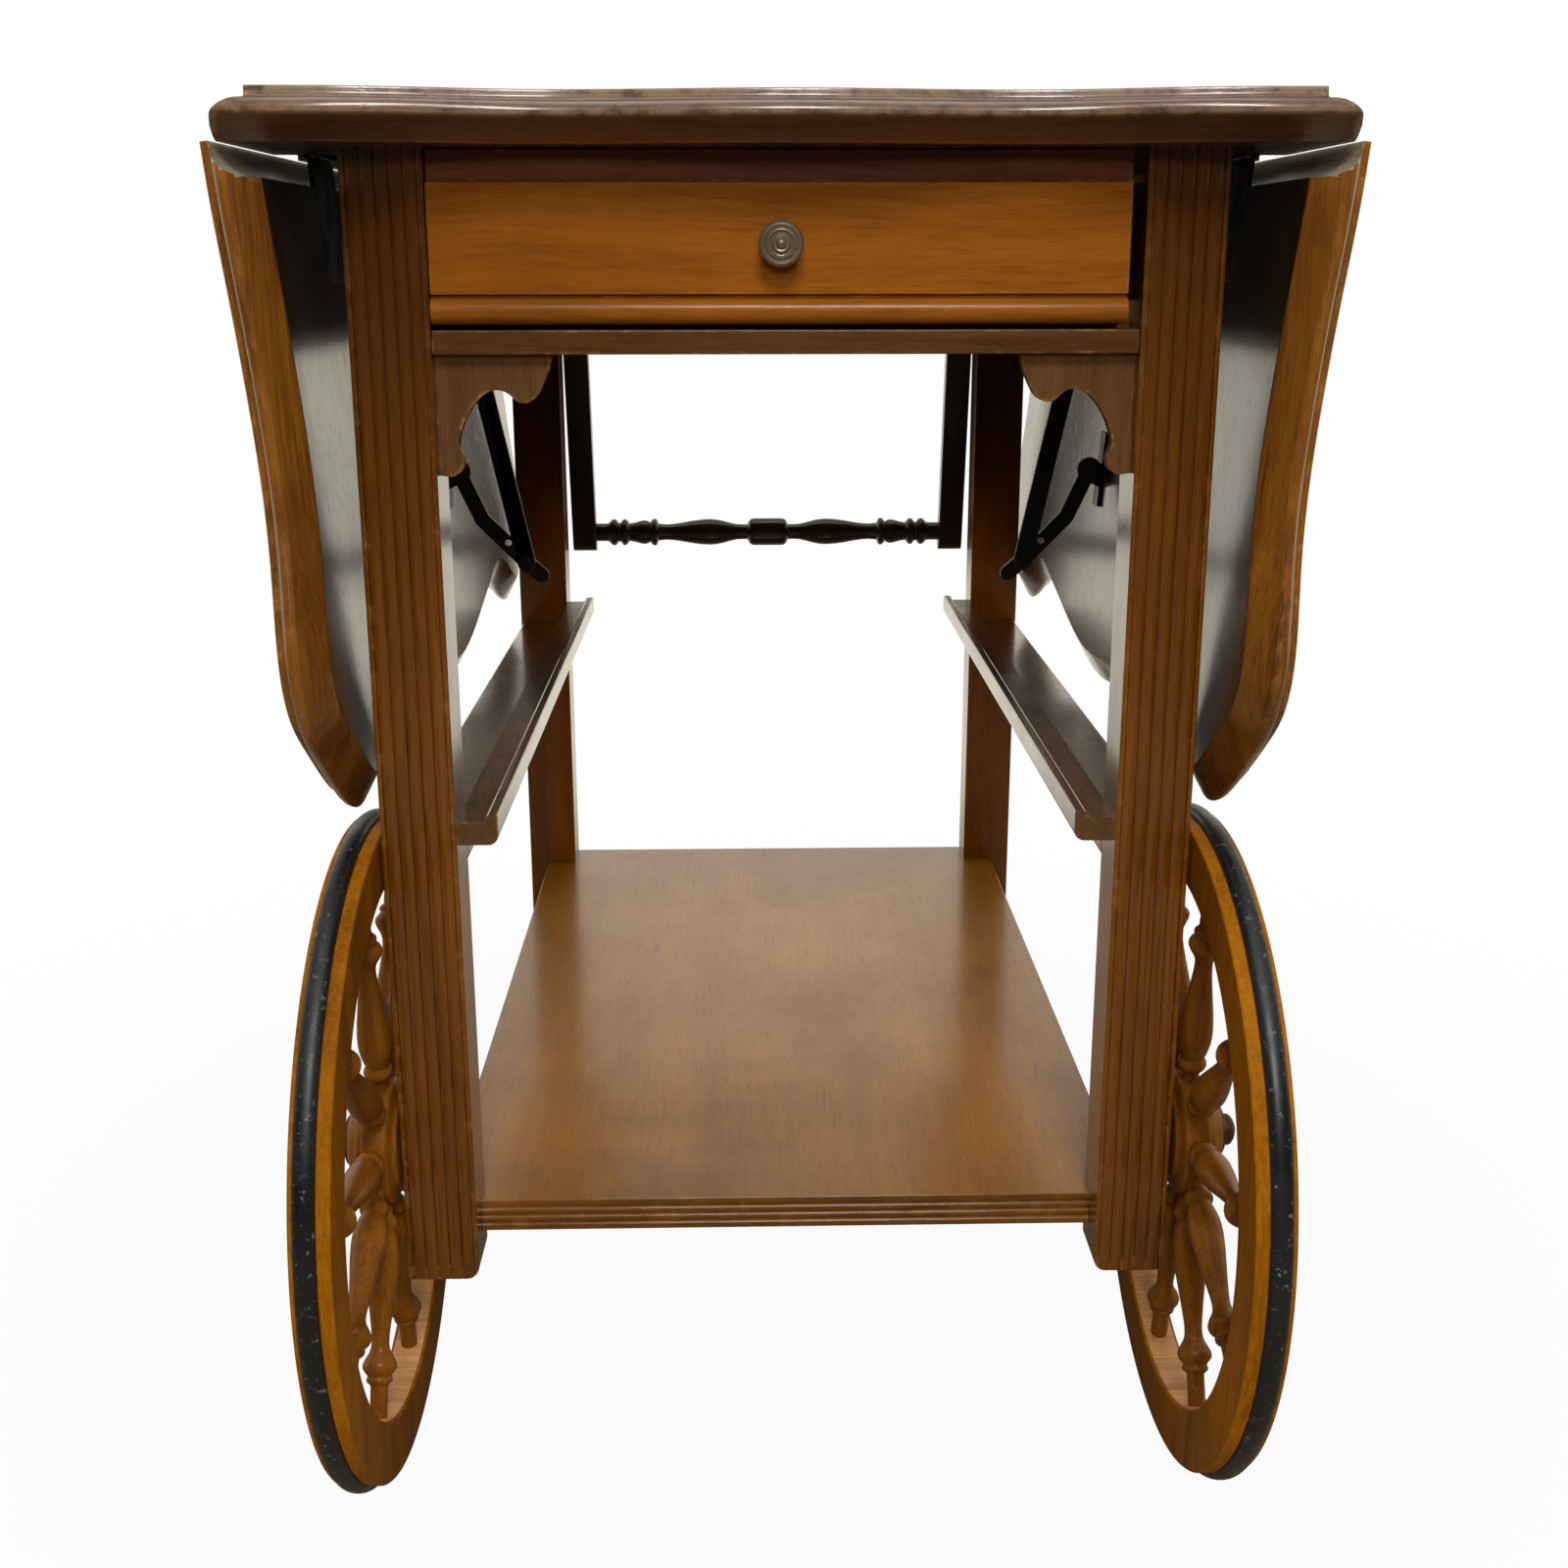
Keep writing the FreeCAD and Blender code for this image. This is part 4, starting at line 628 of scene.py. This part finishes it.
def build_front_leg(name, side):
    front = reed_line(LEG_INNER, LEG_OUTER, FRONT)
    back = FRONT + LEG_DEPTH
    outline = front + [(LEG_OUTER, back - 1.0), (LEG_OUTER - 1.0, back), (LEG_INNER + 1.0, back),
                       (LEG_INNER, back - 1.0)]
    rings = []
    heights = [LEG_BOTTOM + FOOT_ROUND * (1 - math.cos(math.radians(a))) for a in range(0, 91, 9)]
    for z in heights + [UNDERSIDE]:
        rise = min(z - LEG_BOTTOM, FOOT_ROUND)
        limit = LEG_INNER + FOOT_ROUND - math.sqrt(max(FOOT_ROUND ** 2 - (FOOT_ROUND - rise) ** 2, 0))
        tuck = 0.7 * max(0.0, 1 - (z - LEG_BOTTOM) / 0.8)
        ring = []
        for x, y in outline:
            x = max(x, limit)
            x = min(x, LEG_OUTER - tuck)
            y = min(max(y, FRONT + tuck), back - tuck)
            ring.append((side * x, y, z))
        rings.append(ring)
    bm = bmesh.new()
    add_rings(bm, rings)
    post = finish_mesh(bm, f"front_{name}_leg_post", M["leg"], "frame", [f"front_{name}_leg"])
    dress(post, M["groove"],
          lambda place, normal: FRONT + 0.8 < place.y < FRONT + 1.3 and place.z > LEG_BOTTOM + 8.5)


def build_shelf():
    z0, z1 = SHELF_UNDER, SHELF_TOP
    front = FRONT + 21
    pitch = (z1 - z0) / 4
    section = []
    steps = 64
    for i in range(steps + 1):
        z = z0 + (z1 - z0) * i / steps
        near = min(abs(z - (z0 + k * pitch)) for k in (1, 2, 3))
        depth = max(math.sqrt(max(1.4 ** 2 - near ** 2, 0)) - 0.6, 0)
        corner = max(0.0, 0.9 - min(z - z0, z1 - z))
        section.append((front + depth + corner ** 2 * 0.6, z))
    section += [(BACK - 1.0, z1), (BACK, z1 - 1.0), (BACK, z0 + 1.0), (BACK - 1.0, z0)]
    outline = [[(x, y, z) for y, z in section] for x in (-LEG_INNER, LEG_INNER)]
    bm = bmesh.new()
    add_rings(bm, outline)
    for s in (-1, 1):
        y0, y1 = FRONT + LEG_DEPTH, BACK - LEG_DEPTH
        x0, x1 = LEG_INNER, SHELF_HALF
        wing = [(x0, y0), (x1 - 1, y0), (x1, y0 + 1), (x1, y1 - 1), (x1 - 1, y1), (x0, y1)]
        rings = []
        for z, tuck in ((z0, 0.8), (z0 + 0.8, 0), (z1 - 0.8, 0), (z1, 0.8)):
            rings.append([(s * (x0 if x == x0 else x - tuck), y, z) for x, y in wing])
        add_rings(bm, rings)
    shelf = finish_mesh(bm, "lower_shelf_board", M["shelf"], "frame", ["lower_shelf"])
    dress(shelf, M["shelf_edge"], lambda place, normal: abs(normal.z) < 0.9)


def build_ledge(name, side):
    """A tray ledge with a fine raised lip along its outer edge."""
    x0, x1 = 146.0, 167.0
    z0, z1 = 351.5, 367.6
    section = [(x1, z0)]
    for a in range(0, 91, 9):
        c, s = math.cos(math.radians(a)), math.sin(math.radians(a))
        section.append((x0 + 5.5 - 5.5 * s, z0 + 5.5 - 5.5 * c))
    section += [(x0, z1 - 1.0), (x0 + 0.3, z1 - 0.3), (x0 + 1.0, z1), (x0 + 4.6, z1), (x0 + 5.4, z1 - 0.5),
                (x0 + 5.8, z1 - 1.6), (x0 + 6.2, z1 - 3.0), (x0 + 7.2, z1 - 3.6), (x1 - 1.0, z1 - 3.6),
                (x1, z1 - 3.6)]
    rings = []
    y0, y1 = FRONT, BACK - 20
    for y, tuck in ((y0, 0.8), (y0 + 0.25, 0.3), (y0 + 0.8, 0), (y1 - 0.8, 0), (y1, 0.8)):
        ring = []
        for x, z in section:
            inner = x if x > x1 - 0.01 else x + tuck * (1 if x < x0 + 9 else 0)
            ring.append((side * inner, y, min(max(z, z0 + tuck), z1 - tuck)))
        rings.append(ring)
    bm = bmesh.new()
    add_rings(bm, rings)
    ledge = finish_mesh(bm, name + "_tray_ledge_bar", M["rail_y"], "frame", [name + "_tray_ledge"])
    dress(ledge, M["ledge_top"], lambda place, normal: normal.z > 0.95)


def build_fret(name, side):
    outline = [(1, 0), (0.98, 0.105), (0.917, 0.246), (0.835, 0.36), (0.734, 0.386), (0.651, 0.325),
               (0.569, 0.284), (0.45, 0.295), (0.336, 0.377), (0.239, 0.509), (0.174, 0.658),
               (0.161, 0.772), (0.194, 0.877), (0.174, 0.956), (0.092, 1)]
    curve = spline([(LEG_INNER - a * FRET_LENGTH, FRET_TOP - d * FRET_DROP) for a, d in outline], 110)
    points = [tuple(p) for p in curve] + [(LEG_INNER, FRET_TOP - FRET_DROP), (LEG_INNER, FRET_TOP)]
    rings = []
    y0 = FRONT + 10
    for y, tuck in ((y0, 0.8), (y0 + 0.25, 0.25), (y0 + 0.8, 0), (y0 + 7.2, 0), (y0 + 8, 0.8)):
        ring = []
        for i, (x, z) in enumerate(points):
            if i < len(curve):
                a = np.array(points[max(i - 1, 0)])
                b = np.array(points[min(i + 1, len(curve) - 1)])
                d = (b - a) / max(np.linalg.norm(b - a), 1e-6)
                x, z = x + d[1] * tuck, z - d[0] * tuck
            ring.append((side * min(x, LEG_INNER), y, min(z, FRET_TOP)))
        rings.append(ring)
    bm = bmesh.new()
    add_rings(bm, rings)
    finish_mesh(bm, name + "_fret", M["fret"], "frame", [name + "_fret_bracket"])


# --- drawer -----------------------------------------------------------------
def build_drawer():
    z0, z1 = 606.7, 684.7
    bead_r = 6.0
    section = [(26.0, z0)]
    for a in range(-90, -271, -12):
        c, s = math.cos(math.radians(a)), math.sin(math.radians(a))
        section.append((bead_r + 0.5 + bead_r * c, z0 + bead_r + bead_r * s))
    section += [(7.2, 618.75), (7.5, 619.0), (7.5, 620.0), (7.0, 620.2), (5.0, 620.2), (4.3, 620.5),
                (4.0, 621.2), (4.0, 645.0), (4.0, 669.3), (4.3, 670.2), (5.2, 670.7), (7.6, 670.7),
                (8.0, 671.1), (8.0, z1), (26.0, z1)]
    rings = []
    for x, tuck in ((-166.7, 0.7), (-166.4, 0.25), (-165.9, 0), (160.2, 0), (160.7, 0.25), (161.0, 0.7)):
        rings.append([(x, FRONT + (y + tuck if y < 25 else y), z) for y, z in section])
    bm = bmesh.new()
    add_rings(bm, rings)
    front = finish_mesh(bm, "drawer_front_board", M["drawer"], "drawer", ["drawer_front"])
    # Partly painted shade: the strip under the top takes a darker stain.
    dress(front, M["drawer_strip"], lambda place, normal: place.z > 670.75)
    eased("drawer_left_side", M["pale_y"], 0.8)
    eased("drawer_right_side", M["pale_y"], 0.8)
    eased("drawer_back", M["pale_x"], 0.8)
    profile = [
        (-11.5, 2.5), (0, 2.5), (0, 7.2), (0.4, 7.5), (1.1, 7.5), (1.6, 7.0), (2.5, 5.0), (4.0, 4.3),
        (6.0, 4.2), (7.5, 4.8), (9.0, 6.2), (9.9, 8.4), (10.5, 9.9), (11.2, 10.4), (12.2, 10.5),
        (13.1, 10.4), (13.7, 10.0), (14.0, 9.5), (14.4, 9.1), (14.6, 8.7), (14.4, 8.3), (13.8, 7.9),
        (13.7, 7.5), (14.3, 7.1), (14.9, 6.7), (15.0, 6.3), (14.6, 5.9), (13.9, 5.4), (13.8, 5.0),
        (14.3, 4.4), (14.9, 3.9), (15.2, 3.4), (15.0, 3.0), (14.9, 2.7), (15.6, 2.2), (16.3, 1.5),
        (16.6, 0.7), (16.6, 0.05),
    ]
    bm = bmesh.new()
    add_rings(bm, turned(profile, (KNOB_X, FRONT + 4.0, 643.0), (0, -1, 0), 64))
    finish_mesh(bm, "drawer_knob_turned", M["knob"], "drawer", ["drawer_knob"], 50)


def build_drawer_stop():
    """Thin strips along the front rail that close the gap under the drawer front."""
    bm = bmesh.new()
    y0, y1, top = -246.2, -240.2, 608.0
    section = [(y0, 604.2), (y0, top - 0.4), (y0 + 0.4, top), (y1 - 0.4, top), (y1, top - 0.4), (y1, 604.2)]
    for x0, x1 in ((-166.9, -155.4), (-145.0, 139.5), (149.7, 166.9)):
        rings = []
        for x, tuck in ((x0, 0.3), (x0 + 0.3, 0.0), (x1 - 0.3, 0.0), (x1, 0.3)):
            rings.append([(x, min(max(y, y0 + tuck), y1 - tuck), min(z, top - tuck)) for y, z in section])
        add_rings(bm, rings)
    piece = finish_mesh(bm, "drawer_stop", M["rail_x"], "frame")


# --- wheels -----------------------------------------------------------------
SPOKE = [
    (-8, 4.6), (3.6, 4.6), (5.6, 5.0), (7.0, 6.4), (8.6, 7.4), (10.0, 7.8), (11.4, 7.6), (12.6, 7.0),
    (13.6, 6.3), (14.5, 6.1), (15.4, 6.4), (17.0, 7.1), (20.0, 7.9), (24.0, 8.7), (28.0, 9.0),
    (32.0, 9.0), (37.0, 8.6), (42.0, 8.1), (48.0, 7.3), (54.0, 6.5), (60.0, 5.7), (66.0, 5.0),
    (70.0, 4.7), (73.0, 4.7), (75.0, 5.0), (77.0, 5.7), (79.0, 6.9), (81.0, 8.1), (82.6, 8.8),
    (84.0, 9.1), (85.4, 8.9), (86.6, 8.3), (87.8, 7.3), (88.8, 6.5), (89.4, 6.3), (90.2, 6.7),
    (91.0, 6.9), (91.8, 6.8), (92.6, 6.2), (93.2, 5.4), (94.0, 4.7), (95.0, 4.6), (118.5, 4.6),
]


def build_wheel(name, side):
    body = name + "_wheel"
    centre = (side * WHEEL_X, AXLE_Y, AXLE_Z)
    axis = (side, 0, 0)
    bm = bmesh.new()
    for i in range(SPOKES):
        a = math.radians(FIRST_SPOKE + 360 / SPOKES * i)
        out = Vector((0, math.cos(a), math.sin(a)))
        start = Vector(centre) + out * 34.0
        add_rings(bm, turned(SPOKE, start, out, 28))
    finish_mesh(bm, body + "_spoke_set", M["wheel"], body, [body + "_spokes"], 50)
    section = [
        (-10, 147.0), (-9.4, 145.4), (-8.0, 144.6), (-6.0, RIM_INNER), (6.0, RIM_INNER), (8.0, 144.6),
        (9.4, 145.4), (10, 147.0), (10, 173.6), (9.7, 174.8), (9.0, 175.5), (8.2, 175.5), (7.5, 175.0),
        (7.5, 172.0), (-3.0, 172.0), (-3.0, 175.0), (-3.6, 175.5), (-8.8, 175.5), (-9.6, 174.9),
        (-10, 173.8),
    ]
    bm = bmesh.new()
    add_rings(bm, wheel_rings(section, side), closed=True)
    rim = finish_mesh(bm, body + "_rim_ring", M["rim"], body, [body + "_rim"])
    dress(rim, M["rim_inside"],
          lambda place, normal: math.hypot(place.y - AXLE_Y, place.z - AXLE_Z) < RIM_INNER + 0.4)
    section = [(-3.0, 172.0)]
    for i in range(0, 181, 9):
        a = math.radians(i)
        section.append((2.25 - 5.25 * math.cos(a), 174.6 + 4.4 * math.sin(a) ** 0.75))
    section.append((7.5, 172.0))
    bm = bmesh.new()
    add_rings(bm, wheel_rings(section, side), closed=True)
    finish_mesh(bm, body + "_tyre_ring", M["tyre"], body, [body + "_tyre"], 40)
    profile = [
        (-10, 8.0), (-10, 23.4), (-9.6, 24.4), (-8.6, 25.4), (-7.8, 27.0), (-7.0, 31.0), (-6.2, 33.2),
        (-5.2, 34.0), (5.2, 34.0), (6.2, 33.2), (6.9, 31.0), (7.6, 28.6), (8.6, 27.7), (9.8, 27.2),
        (10.8, 26.0), (11.6, 23.8), (12.6, 22.4), (15.0, 20.8), (16.4, 19.0), (17.4, 16.8),
        (18.0, 15.0), (18.0, 8.0),
    ]
    bm = bmesh.new()
    add_rings(bm, turned(profile, centre, axis, 72), cap=False)
    inner = turned([(-10, 8.0), (18.0, 8.0)], centre, axis, 72)
    add_rings(bm, inner, cap=False)
    finish_mesh(bm, body + "_hub_block", M["wheel"], body, [body + "_hub"], 40)
    nut = [(0, 8.0), (0, 12.4), (0.3, 13.0), (1.3, 13.0), (1.6, 12.4), (1.6, 8.6), (5.4, 8.5), (6.6, 7.8),
           (8.0, 6.0), (9.0, 3.6), (9.6, 0.2)]
    start = (side * (WHEEL_X + 18.3), AXLE_Y, AXLE_Z)
    bm = bmesh.new()
    add_rings(bm, turned(nut, start, axis, 48))
    add_rings(bm, turned([(-12.0, 12.4), (-11.6, 13.0), (-10.7, 13.0), (-10.3, 12.4)],
                         centre, axis, 48))
    add_rings(bm, turned([(-40, 5.0), (20.0, 5.0)], centre, axis, 32))
    finish_mesh(bm, name + "_axle_set", M["bronze"], "frame", [name + "_axle"], 40)


def wheel_rings(section, side):
    """Cross-sections of a ring round a wheel's axle."""
    rings = []
    for i in range(RING_STEPS):
        a = 2 * math.pi * i / RING_STEPS
        rings.append([(side * (WHEEL_X + along), AXLE_Y + r * math.cos(a), AXLE_Z + r * math.sin(a))
                      for along, r in section])
    return rings


# --- handle -----------------------------------------------------------------
def tilt(point):
    """Swing a point of the upright handle back to where it hangs."""
    a = math.radians(HANDLE_TILT)
    y, z = point[1] - HANDLE_Y, point[2] - HANDLE_Z
    return (point[0], HANDLE_Y + y * math.cos(a) - z * math.sin(a),
            HANDLE_Z + y * math.sin(a) + z * math.cos(a))


def build_handle():
    half = 146.7
    turning = [
        (0, 7.5), (0.06, 7.5), (0.068, 7.7), (0.078, 8.6), (0.088, 10.4), (0.1, 11.2), (0.11, 11.1),
        (0.12, 10.2), (0.13, 8.1), (0.14, 8.0), (0.148, 9.4), (0.158, 11.0), (0.168, 11.2),
        (0.178, 10.6), (0.188, 8.6), (0.196, 7.5), (0.232, 8.5), (0.262, 9.8), (0.286, 10.2),
        (0.3, 9.6), (0.312, 8.5), (0.32, 9.6), (0.33, 11.2), (0.34, 11.5), (0.35, 11.2), (0.358, 9.4),
        (0.365, 7.2), (0.41, 6.6), (0.45, 7.0), (0.491, 7.8), (0.55, 9.4), (0.6, 10.4), (0.64, 10.9),
        (0.668, 11.0), (0.7, 10.6), (0.736, 9.6), (0.78, 7.8), (0.818, 6.6), (0.86, 6.3), (0.88, 6.4),
        (0.887, 8.0), (0.893, 9.6), (0.9, 10.6), (0.912, 11.4), (0.93, 11.5), (1, 11.5),
    ]
    left = [(-half - 9.5, 5.0), (-half, 5.0)] + [(-half + share * half, r) for share, r in turning]
    profile = left + [(-a, r) for a, r in reversed(left[:-1])]
    rings = turned(profile, (0, HANDLE_Y, HANDLE_Z - HANDLE_REACH), (1, 0, 0), 40)
    rings = [[tilt(p) for p in ring] for ring in rings]
    bm = bmesh.new()
    add_rings(bm, rings)
    finish_mesh(bm, "handle_grip", M["turned"], "handle", ["handle_spindle"], 50)
    for node in ("handle_left_arm", "handle_right_arm"):
        eased(node, M["arm"], 1.6, 3)


# --- everything else keeps the CAD shape, most with softened edges ----------
def paint(node, material):
    """Give a CAD node that stays in view its material."""
    piece = frame["nodes"][node]
    for slot in piece.material_slots:
        slot.link = "OBJECT"
        slot.material = material


build_top()
for name, side in (("left", -1), ("right", 1)):
    build_leaf(name, side)
    build_front_leg(name, side)
    build_ledge(name, side)
    build_fret(name, side)
    build_wheel(name, side)
    eased(f"rear_{name}_leg", M["rear_leg"], 1.0)
    eased(f"{name}_side_apron", M["rail_y"], 0.8)
    eased(f"{name}_side_rail", M["rail_y"], 1.2)
    eased(f"{name}_stay_arm", M["iron"], 0.5)
    eased(f"{name}_stay_link", M["iron"], 0.5)
    eased(f"{name}_stay_leaf_bracket", M["iron"], 0.4)
    eased(f"{name}_hinge_leaf_plates", M["hinge"], 0.3)
    eased(f"{name}_caster_fork", M["steel"], 0.4)
    paint(f"{name}_caster_wheel", M["caster"])
    paint(f"{name}_wheel_bush", M["steel"])
    paint(f"{name}_drawer_runner", M["pale_y"])
    paint(f"{name}_drawer_kicker", M["pale_y"])
build_shelf()
build_drawer()
build_drawer_stop()
build_handle()
eased("rear_apron", M["rail_x"], 0.8)
eased("front_rail", M["rail_x"], 0.8)
paint("drawer_bottom", M["pale_x"])
eased("hinge_frame_plates", M["hinge"], 0.3)
for node in ("caster_sockets", "handle_pivots"):
    eased(node, M["steel"], 0.3)
eased("stay_frame_brackets", M["iron"], 0.4)
eased("handle_stop_blocks", M["arm"], 0.8)


# --- stage, light and camera ------------------------------------------------
AMBIENT = 0.07
WARM = (1.0, 0.93, 0.78, 1.0)
CAMERA_PLACE = (-0.02156, -1.15068, 0.63383)
CAMERA_LENS = 41.71
CAMERA_PITCH = 15.960
CAMERA_YAW = 1.298
CAMERA_ROLL = -0.0635


def area_light(name, place, target, size, power, mirrored=True):
    lamp = bpy.data.lights.new(name, "AREA")
    lamp.shape = "RECTANGLE"
    lamp.size, lamp.size_y = size
    lamp.energy = power
    holder = bpy.data.objects.new(name, lamp)
    holder.location = place
    holder.rotation_euler = (Vector(target) - Vector(place)).to_track_quat("-Z", "Y").to_euler()
    holder.visible_glossy = mirrored
    bpy.context.scene.collection.objects.link(holder)


def shown_white(s, share, glossy):
    """White to the camera and bright in reflections; lit like any surface otherwise."""
    path = s.add("LightPath")
    seen = s.math("MULTIPLY", path.outputs["Is Camera Ray"], share)
    bright = s.math("MAXIMUM", path.outputs["Is Glossy Ray"], path.outputs["Is Transmission Ray"])
    factor = s.math("ADD", seen, s.math("MULTIPLY", bright, glossy), True)
    tint = s.mix(path.outputs["Is Camera Ray"], WARM, (1, 1, 1, 1))
    glow = s.add("Emission", {"Color": tint, "Strength": 1.0})
    mix = s.add("MixShader", {0: factor})
    s.tree.links.new(s.bsdf.outputs[0], mix.inputs[1])
    s.tree.links.new(glow.outputs[0], mix.inputs[2])
    s.tree.links.new(mix.outputs[0], s.tree.nodes["Material Output"].inputs[0])


def build_floor():
    bm = bmesh.new()
    bmesh.ops.create_grid(bm, x_segments=2, y_segments=2, size=8.0)
    mesh = bpy.data.meshes.new("studio_floor")
    bm.to_mesh(mesh)
    bm.free()
    floor = bpy.data.objects.new("studio_floor", mesh)
    bpy.context.scene.collection.objects.link(floor)
    s = Shader("studio_floor")
    s.set(Base_Color=(0.22, 0.17, 0.10, 1), Roughness=0.9)
    place = s.add("TexCoord").outputs["Object"]
    split = s.add("SeparateXYZ", {0: place})
    far = s.add("VectorMath", {0: place}, operation="LENGTH").outputs["Value"]
    shown_white(s, s.remap(far, 0.3, 1.0, 0.95, 1.0), s.remap(split.outputs[1], 0.5, 1.3, 0.04, 1.0))
    mesh.materials.append(s.material)


def build_world():
    """White behind the trolley and overhead, dim on the side the camera stands."""
    world = bpy.data.worlds.new("studio")
    bpy.context.scene.world = world
    world.use_nodes = True
    tree = world.node_tree
    way = add_node(tree, "SeparateXYZ", {0: add_node(tree, "TexCoord").outputs["Generated"]})

    def ramp(value, low, high, out_low, out_high):
        return add_node(tree, "MapRange", {0: value, 1: low, 2: high, 3: out_low, 4: out_high}).outputs[0]

    def join(operation, a, b):
        return add_node(tree, "Math", {0: a, 1: b}, operation=operation).outputs[0]

    back = ramp(way.outputs[1], -0.35, 0.35, 0.05, 1.0)
    wall = ramp(way.outputs[2], 0.38, 0.52, 1.0, 0.45)
    above = ramp(way.outputs[2], 0.45, 0.95, 0.0, 0.9)
    glossy = join("MAXIMUM", join("MULTIPLY", back, wall), above)
    path = add_node(tree, "LightPath")
    mirrored = join("MAXIMUM", path.outputs["Is Glossy Ray"], path.outputs["Is Transmission Ray"])
    level = join("MAXIMUM", ramp(mirrored, 0.0, 1.0, AMBIENT, glossy), path.outputs["Is Camera Ray"])
    tint = add_node(tree, "MixRGB", {0: mirrored, 1: (1, 1, 1, 1), 2: WARM}).outputs[0]
    background = tree.nodes["Background"].inputs
    feed(tree, background["Strength"], level)
    feed(tree, background["Color"], tint)


def build_camera():
    camera = bpy.data.cameras.new("camera")
    camera.sensor_width = 36.0
    camera.lens = CAMERA_LENS
    holder = bpy.data.objects.new("camera", camera)
    forward = Euler((math.radians(90 - CAMERA_PITCH), 0, math.radians(-CAMERA_YAW))).to_matrix()
    spin = Matrix.Rotation(math.radians(CAMERA_ROLL), 3, "Z")
    holder.matrix_world = Matrix.Translation(CAMERA_PLACE) @ (forward @ spin).to_4x4()
    bpy.context.scene.collection.objects.link(holder)
    bpy.context.scene.camera = holder


build_floor()
build_world()
build_camera()
area_light("key", (0.12, -1.95, 2.15), (0, -0.1, 0.45), (0.7, 0.6), 34)
area_light("low", (0.0, -3.0, 1.3), (0, 0.1, 0.25), (0.9, 0.4), 28, mirrored=False)
area_light("ceiling", (0.0, 0.3, 2.9), (0, 0.0, 0.2), (1.6, 1.6), 14)
area_light("back", (0.0, 2.4, 1.9), (0, 0.0, 0.3), (2.4, 1.2), 34, mirrored=False)
area_light("left_side", (-2.4, 0.35, 1.3), (0, 0.05, 0.4), (1.6, 0.9), 24, mirrored=False)
area_light("right_side", (2.4, 0.35, 1.3), (0, 0.05, 0.4), (1.6, 0.9), 24, mirrored=False)
scene = bpy.context.scene
scene.view_settings.view_transform = "Standard"
